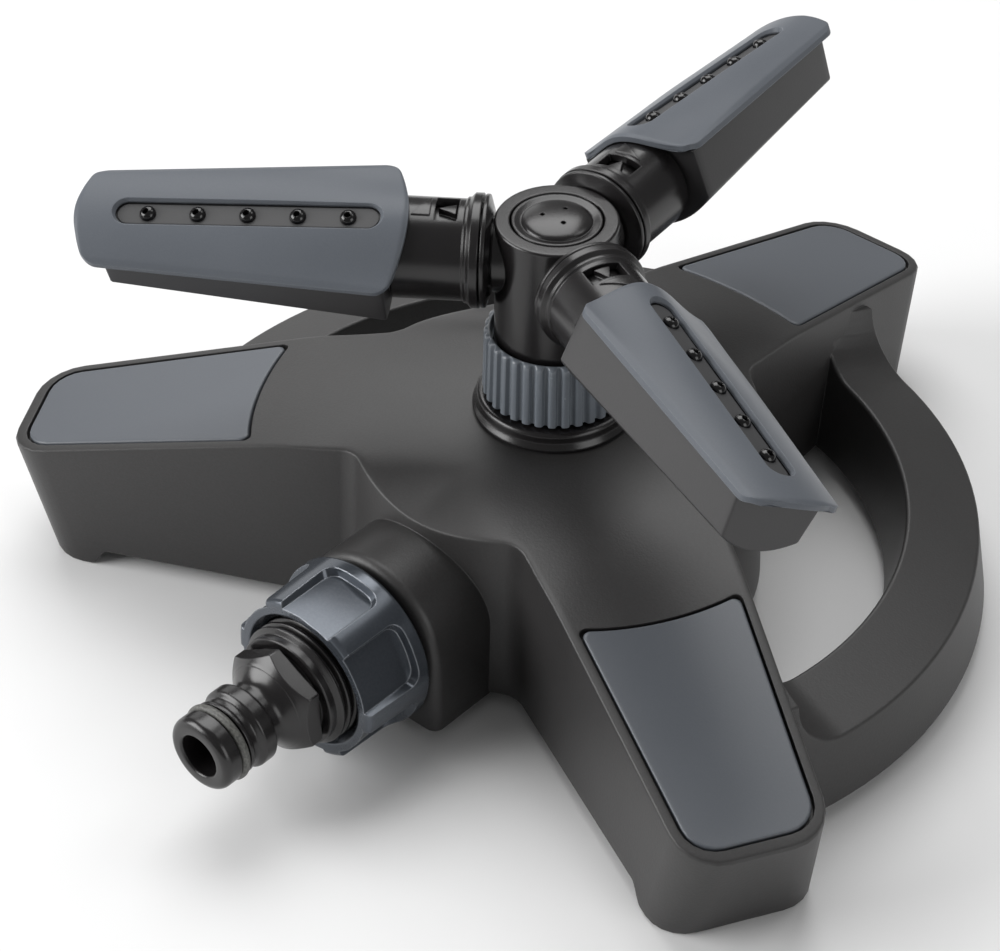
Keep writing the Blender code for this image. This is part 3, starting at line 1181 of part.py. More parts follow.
def make_sleeve(twist, tag):
    bore = STUB_BARREL_RADIUS + FIT_GAP
    outline = [
        (bore, STUB_FLANGE_END + FIT_GAP),
        (SLEEVE_RIM_RADIUS, STUB_FLANGE_END + FIT_GAP),
        (SLEEVE_RIM_RADIUS, SLEEVE_RIM_END - SLEEVE_RIM_SLOPE),
        (SLEEVE_RADIUS, SLEEVE_RIM_END),
        (SLEEVE_RADIUS, SLEEVE_END),
        (SLEEVE_SPIGOT_RADIUS, SLEEVE_END),
        (SLEEVE_SPIGOT_RADIUS, SLEEVE_END + SLEEVE_SPIGOT_LENGTH),
        (STUB_BORE_RADIUS, SLEEVE_END + SLEEVE_SPIGOT_LENGTH),
        (STUB_BORE_RADIUS, STUB_END + FIT_GAP),
        (bore, STUB_END + FIT_GAP),
    ]
    sleeve = place("arm_sleeve_" + tag, turned_mesh("arm_sleeve_" + tag, outline, ROUND_STEPS, "X"),
                   BLACK_PLASTIC, twist)
    cut(sleeve, window_mesh("window_" + tag))
    join(sleeve, wedge_mesh("mark_" + tag, SLEEVE_RADIUS, MARK_HEIGHT, MARK_START,
                            MARK_START + MARK_LENGTH, MARK_HALF_WIDTH, MARK_SKEW))
    ring = ring_outline((arm_ring_bed() + bore) / 2.0, ARM_RING_THICKNESS - FIT_GAP / 2.0,
                        ARM_RING_PLACE, BOSS_STEPS // 2)
    place("arm_o_ring_" + tag, turned_mesh("arm_o_ring_" + tag, ring, SMALL_STEPS, "X"), RUBBER, twist)


def cover_size(along):
    share = (along - COVER_START) / (COVER_END - COVER_START)
    half = mix(COVER_START_HALF_WIDTH, COVER_END_HALF_WIDTH, share)
    edge = mix(COVER_START_EDGE_HEIGHT, COVER_END_EDGE_HEIGHT, share)
    return share, half, edge


def crest_height(along):
    return COVER_CREST_START - (along - COVER_START) * math.tan(math.radians(COVER_CREST_SLOPE))


def cover_height(along, across):
    # A bell-shaped hump over the sleeve at the hub end, which fades into a plain arch along the arm.
    share, half, edge = cover_size(along)
    part = min(abs(across) / half, 1.0)
    bell = (1.0 + math.cos(math.pi * part)) / 2.0
    arch = 1.0 - part * part
    return edge + (crest_height(along) - edge) * mix(bell, arch, smooth_step(share, *COVER_HUMP_FADE))


def cover_grid(offset):
    # Stations along the arm, each with points across from one edge to the other.
    grid = []
    for share in COVER_STATIONS:
        row = []
        for j in range(COVER_COLUMNS + 1):
            side = 2.0 * j / COVER_COLUMNS - 1.0
            first = COVER_START - COVER_START_BULGE * (1.0 - side * side)
            last = COVER_END + COVER_END_BULGE * (1.0 - side * side)
            along = mix(first, last, share)
            half = cover_size(min(max(along, COVER_START), COVER_END))[1]
            to_end = max(min(along - first, last - along), 0.0)
            missing = max(COVER_CORNER_RADIUS - to_end, 0.0)
            pull = COVER_CORNER_RADIUS - math.sqrt(COVER_CORNER_RADIUS ** 2 - missing ** 2)
            across = side * (half - pull)
            row.append((along, across, cover_height(along, across) - offset))
        grid.append(row)
    return grid


def sheet_mesh(name, upper, lower):
    # A closed plate between two grids of the same size.
    bm = bmesh.new()
    layers = [[[bm.verts.new(point) for point in row] for row in grid] for grid in (upper, lower)]
    rows = len(upper)
    columns = len(upper[0])
    for layer in layers:
        for i in range(rows - 1):
            for j in range(columns - 1):
                bm.faces.new((layer[i][j], layer[i + 1][j], layer[i + 1][j + 1], layer[i][j + 1]))
    top, bottom = layers
    border = [(i, 0) for i in range(rows)]
    border += [(rows - 1, j) for j in range(1, columns)]
    border += [(i, columns - 1) for i in range(rows - 2, -1, -1)]
    border += [(0, j) for j in range(columns - 2, 0, -1)]
    for (i, j), (k, l) in zip(border, border[1:] + border[:1]):
        bm.faces.new((top[i][j], top[k][l], bottom[k][l], bottom[i][j]))
    return finish_mesh(bm, name)


def strip_place(along, lift):
    # A point above the strip's top face, whose line follows the cover's crest.
    return (along, 0.0, crest_height(along) - STRIP_SINK + lift)


def slot_outline(start, end, half_width):
    steps = 2 * CORNER_STEPS
    points = arc((end - half_width, 0.0), half_width, -90.0, 90.0, steps)
    points += arc((start + half_width, 0.0), half_width, 90.0, 270.0, steps)
    return points


def slot_mesh(name, grow, bottom, top, flare=0.0):
    # An upright slot that follows the crest's slope. A flare widens it from the strip upwards.
    start = FIRST_NOZZLE - NOZZLE_END_MARGIN - grow
    end = FIRST_NOZZLE + (NOZZLES - 1) * NOZZLE_PITCH + NOZZLE_END_MARGIN + grow
    rings = []
    for height, spare in ((bottom, 0.0), (top, flare)):
        outline = slot_outline(start - spare, end + spare, SLOT_HALF_WIDTH - FIT_GAP + grow + spare)
        rings.append([(x, y, crest_height(x) + height) for x, y in outline])
    return skinned_mesh(name, rings)


def make_cover(roll, tag):
    cover = place("arm_cover_" + tag, sheet_mesh("arm_cover_" + tag, cover_grid(0.0),
                  cover_grid(COVER_THICKNESS)), SLATE_LIGHT, roll)
    cut(cover, slot_mesh("slot_" + tag, FIT_GAP, -2.0 * COVER_THICKNESS, COVER_THICKNESS))
    cut(cover, slot_mesh("slot_bevel_" + tag, FIT_GAP, -SLOT_BEVEL, SLOT_BEVEL, 2.0 * SLOT_BEVEL))


def trough_floor(share, across):
    floor_half = mix(TROUGH_START_FLOOR_HALF_WIDTH, TROUGH_END_FLOOR_HALF_WIDTH, share)
    sag = mix(TROUGH_START_FLOOR_SAG, TROUGH_END_FLOOR_SAG, share)
    return -TROUGH_FLOOR_DEPTH - sag * (1.0 - (across / floor_half) ** 2)


def trough_section(share):
    along = mix(TROUGH_START, TROUGH_END, share)
    top_half = mix(TROUGH_START_TOP_HALF_WIDTH, TROUGH_END_TOP_HALF_WIDTH, share)
    floor_half = mix(TROUGH_START_FLOOR_HALF_WIDTH, TROUGH_END_FLOOR_HALF_WIDTH, share)
    points = []
    for i in range(TROUGH_COLUMNS + 1):
        across = floor_half * (2.0 * i / TROUGH_COLUMNS - 1.0)
        points.append((along, across, trough_floor(share, across)))
    for i in range(COVER_COLUMNS + 1):
        across = top_half * (1.0 - 2.0 * i / COVER_COLUMNS)
        points.append((along, across, cover_height(along, across) - COVER_THICKNESS - FIT_GAP))
    return points


def trough_pocket_mesh(name, side, start):
    # The hollow on one side of the water channel, open at the top.
    first = (start - TROUGH_START) / (TROUGH_END - TROUGH_START)
    last = 1.0 - TROUGH_WALL / (TROUGH_END - TROUGH_START)
    rings = []
    for share in (first, last):
        along = mix(TROUGH_START, TROUGH_END, share)
        floor_half = mix(TROUGH_START_FLOOR_HALF_WIDTH, TROUGH_END_FLOOR_HALF_WIDTH, share)
        inner = CHANNEL_HALF_WIDTH + CHANNEL_WALL
        outer = floor_half - TROUGH_WALL
        ring = []
        for i in range(POCKET_COLUMNS + 1):
            across = mix(inner, outer, i / POCKET_COLUMNS)
            ring.append((along, side * across, trough_floor(share, across) + TROUGH_WALL))
        ring.append((along, side * outer, COVER_CREST_START))
        ring.append((along, side * inner, COVER_CREST_START))
        rings.append(ring)
    return skinned_mesh(name, rings)


def make_trough(roll, tag):
    sections = [trough_section(i / TROUGH_STATIONS) for i in range(TROUGH_STATIONS + 1)]
    trough = place("arm_trough_" + tag, skinned_mesh("arm_trough_" + tag, sections), CHARCOAL, roll)
    socket_end = SLEEVE_END + SLEEVE_SPIGOT_LENGTH + FIT_GAP
    cut(trough, rod_mesh("trough_socket_" + tag, SLEEVE_SPIGOT_RADIUS + FIT_GAP,
                         TROUGH_START - TROUGH_WALL, socket_end))
    channel_start = socket_end - TROUGH_WALL
    channel_end = FIRST_NOZZLE + (NOZZLES - 1) * NOZZLE_PITCH + NOZZLE_RADIUS
    cut(trough, box_mesh("trough_channel_" + tag,
                         (channel_start, -CHANNEL_HALF_WIDTH, -CHANNEL_DEPTH),
                         (channel_end, CHANNEL_HALF_WIDTH, TROUGH_FLOOR_DEPTH)))
    cut(trough, slot_mesh("strip_bed_" + tag, FIT_GAP, -STRIP_SINK - STRIP_THICKNESS - FIT_GAP,
                          2.0 * COVER_THICKNESS))
    for side in (-1.0, 1.0):
        name = f"trough_pocket_{tag}_{'left' if side > 0.0 else 'right'}"
        cut(trough, trough_pocket_mesh(name, side, socket_end + TROUGH_WALL))


def make_strip(roll, tag):
    strip = place("nozzle_strip_" + tag,
                  slot_mesh("nozzle_strip_" + tag, 0.0, -STRIP_SINK - STRIP_THICKNESS, -STRIP_SINK),
                  BLACK_PLASTIC, roll)
    for index in range(NOZZLES):
        along = FIRST_NOZZLE + index * NOZZLE_PITCH
        dome = []
        for i in range(NOZZLE_DOME_STEPS):
            turn = math.pi / 2.0 * i / NOZZLE_DOME_STEPS
            dome.append((NOZZLE_RADIUS * math.cos(turn), mix(FIT_GAP, NOZZLE_HEIGHT, math.sin(turn))))
        dome.append((0.0, NOZZLE_HEIGHT))
        dome.insert(0, (NOZZLE_RADIUS, -STRIP_THICKNESS / 2.0))
        dome.insert(0, (0.0, -STRIP_THICKNESS / 2.0))
        mesh = turned_mesh(f"nozzle_{tag}_{index}", dome, TINY_STEPS)
        lean = Matrix.Rotation(math.radians(COVER_CREST_SLOPE), 4, "Y")
        seat = Matrix.Translation(strip_place(along, 0.0))
        mesh.transform(seat @ lean)
        join(strip, mesh)
        fan = Matrix.Rotation(math.radians(COVER_CREST_SLOPE + NOZZLE_FAN * index), 4, "Y")
        jet = disc_mesh(f"jet_{tag}_{index}", NOZZLE_HOLE_RADIUS, -STRIP_THICKNESS * 2.0,
                        NOZZLE_HEIGHT * 2.0, steps=JET_STEPS)
        jet.transform(seat @ fan @ Matrix.Rotation(math.radians(JET_FACET_TURN), 4, "Z"))
        cut(strip, jet)


def main():
    clear_scene()
    root = empty("sprinkler", location=(0.0, (PLUG_END - LEG_REACH) / 2.0, 0.0))
    make_base(root)
    make_duct(root)
    make_seat(root)
    inlet = empty("inlet_axis", root, (0.0, 0.0, INLET_HEIGHT), (0.0, 0.0, -90.0))
    make_spigot(inlet)
    swivel = empty("swivel_axis", inlet)
    make_nut(swivel)
    make_plug(swivel)
    collar_axis = empty("collar_axis", root)
    make_collar(collar_axis)
    rotor = empty("rotor_axis", root)
    make_hub(rotor)
    make_cap(rotor)
    for index in range(ARM_COUNT):
        tag = str(index + 1)
        arm = empty("arm_axis_" + tag, rotor, (0.0, 0.0, ARM_HEIGHT), (0.0, 0.0, hub_arm_angle(index)))
        make_stub(arm, tag)
        twist = empty("arm_twist_" + tag, arm)
        make_sleeve(twist, tag)
        roll = empty("arm_roll_" + tag, twist, rotation=(-ARM_ROLL, 0.0, 0.0))
        make_trough(roll, tag)
        make_cover(roll, tag)
        make_strip(roll, tag)


main()
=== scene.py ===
import math
from types import SimpleNamespace

import bmesh
import bpy
from mathutils import Matrix, Vector


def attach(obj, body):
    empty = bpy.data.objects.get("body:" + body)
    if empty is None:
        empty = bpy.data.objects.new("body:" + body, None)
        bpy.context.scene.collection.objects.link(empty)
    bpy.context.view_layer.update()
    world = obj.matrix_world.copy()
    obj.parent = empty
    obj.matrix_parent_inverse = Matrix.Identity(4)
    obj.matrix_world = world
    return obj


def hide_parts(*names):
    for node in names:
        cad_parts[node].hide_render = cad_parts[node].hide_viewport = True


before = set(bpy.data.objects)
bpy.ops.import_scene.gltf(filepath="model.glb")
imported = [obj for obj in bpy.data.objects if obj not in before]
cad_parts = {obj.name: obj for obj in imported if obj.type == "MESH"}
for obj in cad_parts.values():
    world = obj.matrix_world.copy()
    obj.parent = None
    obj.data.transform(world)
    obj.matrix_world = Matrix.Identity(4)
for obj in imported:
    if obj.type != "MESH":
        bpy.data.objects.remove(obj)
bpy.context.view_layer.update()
scene = bpy.context.scene
scene.view_settings.view_transform = "Standard"
print("frame loaded:", len(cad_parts), "nodes")

hubAxis = Vector((0.0, -0.00545, 0.0))  # the hub's axis at ground level
onAxis = Matrix.Translation(hubAxis)
inletHeight = 0.0213
armHeight = 0.0835
armRoll = 24.6
legAngles = (90.0, 210.0, 330.0)
legSpacing = 120.0
armAngles = (96.0, 216.0, 336.0)
roundShare = 0.29  # where the middle of a quarter round lies, as a share of its radius
cornerShare = 0.49  # how much of an edge the arc at one of its corners may take
arcStep = 15.0
mergeDistance = 1e-7
crisp, fine, soft = 0.0001, 0.0002, 0.0003  # radii that round most moulded edges


# Colour and node helpers

def hexColour(text):
    channels = [int(text[i:i + 2], 16) / 255.0 for i in (1, 3, 5)]
    linear = [c / 12.92 if c <= 0.04045 else ((c + 0.055) / 1.055) ** 2.4 for c in channels]
    return (*linear, 1.0)


def addNode(tree, kind, settings=None, links=None):
    node = tree.nodes.new(kind)
    for key, value in (settings or {}).items():
        if key in node.inputs:
            node.inputs[key].default_value = value
        else:
            setattr(node, key, value)
    for key, source in (links or {}).items():
        tree.links.new(source, node.inputs[key])
    return node


def mixColours(tree, share, first, second):
    # Each colour is a hex text or another node's output
    mix = addNode(tree, "ShaderNodeMix", {"data_type": "RGBA"}, {0: share})
    for slot, colour in ((6, first), (7, second)):
        if isinstance(colour, str):
            mix.inputs[slot].default_value = hexColour(colour)
        else:
            tree.links.new(colour, mix.inputs[slot])
    return mix.outputs[2]


# The edge wear strength and range also set a painted highlight along every edge
plasticLook = {  # what every material has unless its own look says otherwise
    "cloudDetail": 4.0, "grainSize": 0.0004, "grainDetail": 2.0, "speck": 0.05, "speckFrom": 0.35,
    "speckTo": 0.75, "edgeWearAndPaintedHighlight": 0.5, "edgeWearAndHighlightFrom": 0.995, "edgeWearAndHighlightTo": 0.86, "edge": 0.0004, "edgeSamples": 4,
    "sheenFrom": 0.15, "sheenTo": 0.85, "roughnessSpread": 0.04, "bumpShare": 0.25, "metallic": 0.0,
    "ior": 1.53, "specular": 0.5}


def mouldedPlastic(name, ownLook):
    # Moulded plastic: spark-eroded grain, broad sheen changes, softened edges whose colour is lightened,
    # partly edge wear and partly a painted edge highlight
    look = {**plasticLook, **ownLook}
    material = bpy.data.materials.new(name)
    material.use_nodes = True
    tree = material.node_tree
    shader = tree.nodes["Principled BSDF"]
    place = addNode(tree, "ShaderNodeTexCoord").outputs["Object"]

    def noise(size, detail):
        settings = {"Scale": 1.0 / look[size], "Detail": look[detail]}
        return addNode(tree, "ShaderNodeTexNoise", settings, {"Vector": place}).outputs["Fac"]

    def ranged(source, start, end, low, high):
        settings = {"From Min": look[start], "From Max": look[end], "To Min": low, "To Max": high}
        return addNode(tree, "ShaderNodeMapRange", settings, {"Value": source}).outputs["Result"]

    cloud, grain = noise("cloudSize", "cloudDetail"), noise("grainSize", "grainDetail")
    edge = addNode(tree, "ShaderNodeBevel", {"Radius": look["edge"], "samples": look["edgeSamples"]})
    surface = addNode(tree, "ShaderNodeNewGeometry")
    # Edge mask from the bevel normal: it lightens the colour along every edge, partly as edge wear and partly
    # as a painted highlight
    bend = addNode(tree, "ShaderNodeVectorMath", {"operation": "DOT_PRODUCT"},
                   {0: edge.outputs["Normal"], 1: surface.outputs["Normal"]})
    speck = ranged(grain, "speckFrom", "speckTo", 0.0, look["speck"])
    wornAndPaintedHighlight = ranged(bend.outputs["Value"], "edgeWearAndHighlightFrom", "edgeWearAndHighlightTo", 0.0, look["edgeWearAndPaintedHighlight"])
    spread = look["roughnessSpread"]
    sheen = ranged(cloud, "sheenFrom", "sheenTo", look["roughness"] - spread, look["roughness"] + spread)
    colour = mixColours(tree, cloud, look["dark"], look["light"])
    colour = mixColours(tree, speck, colour, look["wornAndPaintedHighlight"])
    # Painted edge highlight mixed with edge wear: every edge turns toward the light worn colour
    colour = mixColours(tree, wornAndPaintedHighlight, colour, look["wornAndPaintedHighlight"])
    bump = addNode(tree, "ShaderNodeBump",
                   {"Strength": look["bump"], "Distance": look["grainSize"] * look["bumpShare"]},
                   {"Height": grain, "Normal": edge.outputs["Normal"]})
    for socket, source in (("Base Color", colour), ("Roughness", sheen), ("Normal", bump.outputs["Normal"])):
        tree.links.new(source, shader.inputs[socket])
    for socket, key in (("Metallic", "metallic"), ("IOR", "ior"), ("Specular IOR Level", "specular")):
        shader.inputs[socket].default_value = look[key]
    material.diffuse_color = hexColour(look["light"])
    return material


grainedAbs = mouldedPlastic("grainedCharcoalAbs", {  # satin black base, its grain drawn at 0.5 mm to show
    "dark": "#262525", "light": "#2D2C2C", "wornAndPaintedHighlight": "#525151", "speck": 0.10, "cloudSize": 0.030,
    "grainSize": 0.0005, "roughness": 0.44, "bump": 0.25})
armAbs = mouldedPlastic("satinBlackAbs", {  # smoother satin black of the arm bodies
    "dark": "#242324", "light": "#2A292A", "wornAndPaintedHighlight": "#4A494A", "edgeWearAndPaintedHighlight": 0.4, "speck": 0.06, "cloudSize": 0.022,
    "roughness": 0.38, "bump": 0.15})
blackAcetal = mouldedPlastic("polishedBlackAcetal", {  # harder, glossier black of the hub, sleeves and plug
    "dark": "#151414", "light": "#1B191A", "wornAndPaintedHighlight": "#444244", "speck": 0.03, "cloudSize": 0.016,
    "roughness": 0.24, "roughnessSpread": 0.05, "edge": 0.00035, "bump": 0.08, "ior": 1.48, "specular": 0.55})
slateInlay = mouldedPlastic("slateGreyAbsInlay", {  # flat satin grey in the legs
    "dark": "#50545A", "light": "#575B61", "wornAndPaintedHighlight": "#73777D", "cloudSize": 0.035, "roughness": 0.38,
    "roughnessSpread": 0.03, "bump": 0.10})
# The light edge colour round each cover is partly wear and partly a painted highlight along its rim
slateCover = mouldedPlastic("slateGreyAbsCover", {  # semi-gloss grey of the arm covers
    "dark": "#585C62", "light": "#60646A", "wornAndPaintedHighlight": "#8C9096", "speck": 0.04, "cloudSize": 0.028,
    "roughness": 0.36, "edge": 0.0003, "bump": 0.06, "ior": 1.50, "specular": 0.15})
slateNylon = mouldedPlastic("slateGreyNylon", {  # glossy grey collar, its rib edges lightened, partly by wear and partly by a painted highlight
    "dark": "#666C73", "light": "#70767D", "wornAndPaintedHighlight": "#9CA2A9", "edgeWearAndPaintedHighlight": 0.6, "speck": 0.04, "cloudSize": 0.014,
    "grainSize": 0.0005, "roughness": 0.26, "edge": 0.0003, "bump": 0.06, "specular": 0.55})
# The nut's very light edge colour is partly edge wear and partly a painted highlight along the pocket rims
nutNylon = mouldedPlastic("metalFlakeNylon", {  # flake pigment, so that the nut mirrors light and dark
    "dark": "#484D54", "light": "#52575E", "wornAndPaintedHighlight": "#A4A8AE", "edgeWearAndPaintedHighlight": 0.6, "speck": 0.04, "cloudSize": 0.014,
    "grainSize": 0.0005, "roughness": 0.20, "roughnessSpread": 0.03, "bump": 0.04, "metallic": 0.55,
    "specular": 0.6})
stripAbs = mouldedPlastic("darkGreyStripAbs", {  # matt dark grey strip that carries the nozzles
    "dark": "#3A3A3B", "light": "#414142", "wornAndPaintedHighlight": "#5A5A5B", "edgeWearAndPaintedHighlight": 0.3, "cloudSize": 0.010,
    "grainSize": 0.0003, "roughness": 0.45, "roughnessSpread": 0.03, "edge": 0.0002, "bump": 0.10,
    "specular": 0.45})
nozzleAcetal = mouldedPlastic("glossyBlackAcetal", {  # the glossiest black of all, on the small nozzles
    "dark": "#0C0B0C", "light": "#111011", "wornAndPaintedHighlight": "#2C2A2C", "edgeWearAndPaintedHighlight": 0.3, "speck": 0.02, "cloudSize": 0.004,
    "grainSize": 0.0003, "roughness": 0.16, "edge": 0.00015, "bump": 0.05, "ior": 1.48, "specular": 0.55})
sealRubber = mouldedPlastic("nitrileRubber", {  # soft black seals
    "dark": "#0E0E0E", "light": "#131313", "wornAndPaintedHighlight": "#232323", "edgeWearAndPaintedHighlight": 0.2, "cloudSize": 0.006,
    "grainSize": 0.0003, "roughness": 0.55, "roughnessSpread": 0.05, "edge": 0.0002, "bump": 0.10,
    "ior": 1.52, "specular": 0.4})
dustyRubber = mouldedPlastic("dustyNitrileRubber", {  # the plug's ring, grey with dust and wear
    "dark": "#30302E", "light": "#4E4E4B", "wornAndPaintedHighlight": "#8E8E89", "edgeWearAndPaintedHighlight": 0.4, "speck": 0.45,
    "cloudSize": 0.003, "grainSize": 0.0005, "roughness": 0.50, "roughnessSpread": 0.08, "edge": 0.0002,
    "bump": 0.25, "ior": 1.52})
zincSteel = mouldedPlastic("zincPlatedSteel", {  # dull bright metal of the screws and the washer
    "dark": "#8E9092", "light": "#A4A6A8", "wornAndPaintedHighlight": "#C0C2C4", "speck": 0.10, "cloudSize": 0.003,
    "grainSize": 0.0003, "roughness": 0.34, "roughnessSpread": 0.06, "edge": 0.0002, "bump": 0.10,
    "metallic": 1.0, "ior": 1.5})
print("materials made")


# Shape helpers

def sizes(values):
    # A piece's settings dictionary, read as values.name
    return SimpleNamespace(**values)


def blend(first, second, share):
    return first + (second - first) * share


def shares(count):
    return [i / count for i in range(count + 1)]


def easeStep(value, start, end):
    share = min(max((value - start) / (end - start), 0.0), 1.0)
    return share * share * (3.0 - 2.0 * share)


def arcPoints(centre, radius, start, end, steps):
    turns = [math.radians(blend(start, end, share)) for share in shares(steps)]
    return [(centre[0] + radius * math.cos(t), centre[1] + radius * math.sin(t)) for t in turns]


def softened(profile, closed=True):
    # Each corner of the profile is (x, y) or (x, y, radius), and a radius turns it into an arc
    result = []
    count = len(profile)
    for i, point in enumerate(profile):
        radius = point[2] if len(point) > 2 else 0.0
        if radius <= 0.0 or (not closed and i in (0, count - 1)):
            result.append((point[0], point[1]))
            continue
        corner = Vector(point[:2])
        before = Vector(profile[i - 1][:2]) - corner
        after = Vector(profile[(i + 1) % count][:2]) - corner
        half = before.angle(after) / 2.0
        reach = min(radius / math.tan(half), before.length * cornerShare, after.length * cornerShare)
        radius = reach * math.tan(half)
        middle = (before.normalized() + after.normalized()).normalized()
        centre = corner + middle * (radius / math.sin(half))
        first = corner + before.normalized() * reach - centre
        sweep = first.angle_signed(corner + after.normalized() * reach - centre)
        for share in shares(max(2, int(math.degrees(abs(sweep)) / arcStep))):
            spot = centre + Matrix.Rotation(-sweep * share, 2) @ first
            result.append((spot.x, spot.y))
    return result


def turned(profile, steps=96, along=False):
    # Spins (radius, place) about Z, or about X when along is set
    bm = bmesh.new()
    spots = [(p, 0.0, r) if along else (r, 0.0, p) for r, p in profile]
    verts = [bm.verts.new(spot) for spot in spots]
    following = verts[1:]
    if max(profile[0][0], profile[-1][0]) > 0.0:
        following.append(verts[0])
    edges = [bm.edges.new(pair) for pair in zip(verts, following)]
    axis = (1.0, 0.0, 0.0) if along else (0.0, 0.0, 1.0)
    bmesh.ops.spin(bm, geom=verts + edges, cent=(0.0, 0.0, 0.0), axis=axis, angle=math.tau,
                   steps=steps, use_merge=True)
    bmesh.ops.remove_doubles(bm, verts=bm.verts, dist=mergeDistance)
    bmesh.ops.recalc_face_normals(bm, faces=bm.faces)
    return bm


def rod(radius, start, end, steps, along=False):
    return turned([(0.0, start), (radius, start), (radius, end), (0.0, end)], steps, along)


def growLoop(bm, ring, spots):
    edges = [bm.edges.get(pair) for pair in zip(ring, ring[1:] + ring[:1])]
    made = bmesh.ops.extrude_edge_only(bm, edges=edges)["geom"]
    fresh = {item for item in made if isinstance(item, bmesh.types.BMVert)}
    grown = [next(e.other_vert(v) for e in v.link_edges if e.other_vert(v) in fresh) for v in ring]
    for vert, spot in zip(grown, spots):
        vert.co = spot
    return grown


def lofted(loops, closed=False):
    # Extrudes one loop of points after the next, then caps both ends or joins them up
    bm = bmesh.new()
    ring = [bm.verts.new(spot) for spot in loops[0]]
    edges = [bm.edges.new(pair) for pair in zip(ring, ring[1:] + ring[:1])]
    if not closed:
        bmesh.ops.edgeloop_fill(bm, edges=edges)
    for spots in loops[1:] + (loops[:1] if closed else []):
        ring = growLoop(bm, ring, spots)
    if not closed:
        bmesh.ops.edgeloop_fill(bm, edges=[bm.edges.get(pair) for pair in zip(ring, ring[1:] + ring[:1])])
    bmesh.ops.remove_doubles(bm, verts=bm.verts, dist=mergeDistance)
    bmesh.ops.recalc_face_normals(bm, faces=bm.faces)
    return bm


def moved(bm, matrix):
    bmesh.ops.transform(bm, matrix=matrix, verts=bm.verts)
    return bm


def bevelled(bm, width, segments=3, angle=35.0):
    edges = [e for e in bm.edges if e.is_manifold and e.calc_face_angle(0.0) > math.radians(angle)]
    bmesh.ops.bevel(bm, geom=edges, offset=width, offset_type="OFFSET", affect="EDGES",
                    segments=segments, profile=0.5, material=-1, clamp_overlap=True)
    return bm


def combined(*parts):
    whole = bmesh.new()
    for part in parts:
        mesh = bpy.data.meshes.new("part")
        part.to_mesh(mesh)
        part.free()
        whole.from_mesh(mesh)
        bpy.data.meshes.remove(mesh)
    return whole


def asObject(name, bm):
    mesh = bpy.data.meshes.new(name)
    bm.to_mesh(mesh)
    bm.free()
    made = bpy.data.objects.new(name, mesh)
    scene.collection.objects.link(made)
    return made


def discard(piece):
    mesh = piece.data
    bpy.data.objects.remove(piece)
    bpy.data.meshes.remove(mesh)


def carve(piece, tools):
    # Cuts or joins each (operation, bmesh) into the piece, then throws the tools away
    helpers = []
    for operation, bm in tools:
        helper = asObject("tool", bm)
        helpers.append(helper)
        modifier = piece.modifiers.new("carve", "BOOLEAN")
        modifier.operation = operation
        modifier.solver = "EXACT"
        modifier.object = helper
    bpy.context.view_layer.update()
    graph = bpy.context.evaluated_depsgraph_get()
    mesh = bpy.data.meshes.new_from_object(piece.evaluated_get(graph))
    piece.modifiers.clear()
    old = piece.data
    piece.data = mesh
    mesh.name = old.name
    bpy.data.meshes.remove(old)
    for helper in helpers:
        discard(helper)
    return piece


def dress(piece, material, body, nodes, smoothAngle=32.0):
    # The last step for every piece: material, smooth shading, its body and the nodes that it stands for
    piece.data.materials.clear()
    piece.data.materials.append(material)
    piece.data.shade_smooth()
    piece.data.set_sharp_from_angle(angle=math.radians(smoothAngle))
    weighting = piece.modifiers.new("weighting", "WEIGHTED_NORMAL")
    weighting.keep_sharp = True
    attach(piece, body)
    if nodes:
        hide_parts(*nodes)
    return piece


def facing(angle):
    return Matrix.Rotation(math.radians(angle), 4, "Z")


def dressed(name, bm, matrix, material, body, *nodes):
    return dress(asObject(name, moved(bm, matrix)), material, body, nodes)


onInlet = onAxis @ Matrix.Translation((0.0, 0.0, inletHeight)) @ facing(-90.0)


# Camera, lights and floor, with the camera as solved from the photograph

cameraFit = {"place": (0.3310, -0.39805, 0.4452), "azimuth": 131.40, "pitch": 39.18, "roll": -0.07,
             "lens": 113.3, "sensor": 36.0, "nearest": 0.01}


def makeCamera(fit):
    camera = bpy.data.objects.new("camera", bpy.data.cameras.new("camera"))
    scene.collection.objects.link(camera)
    azimuth, pitch = math.radians(fit["azimuth"]), math.radians(fit["pitch"])
    flat = math.cos(pitch)
    look = Vector((math.cos(azimuth) * flat, math.sin(azimuth) * flat, -math.sin(pitch)))
    turn = look.to_track_quat("-Z", "Y").to_matrix().to_4x4()
    camera.matrix_world = Matrix.Translation(fit["place"]) @ turn @ facing(fit["roll"])
    camera.data.lens = fit["lens"]
    camera.data.sensor_width = fit["sensor"]
    camera.data.clip_start = fit["nearest"]
    scene.camera = camera


studio = {
    "floorColour": "#EAEAEA", "floorRoughness": 0.85, "floorSize": 6.0, "world": "#FFFFFF",
    "worldStrength": 0.20,
    "lights": (  # name, place, height that it aims at, width, height, watts
        ("leftSoftbox", (-0.75, -0.85, 0.55), 0.04, 0.9, 0.7, 14.5),
        ("topSoftbox", (-0.46, 0.38, 1.05), 0.05, 0.9, 0.9, 10.5),
        ("backLeftSoftbox", (-1.15, 0.70, 0.40), 0.05, 0.5, 0.6, 0.9),
        ("rightSoftbox", (1.05, -0.10, 0.40), 0.04, 0.6, 0.7, 3.0),
        ("backStrip", (0.30, 0.58, 0.95), 0.05, 0.35, 0.35, 1.0),
    )}


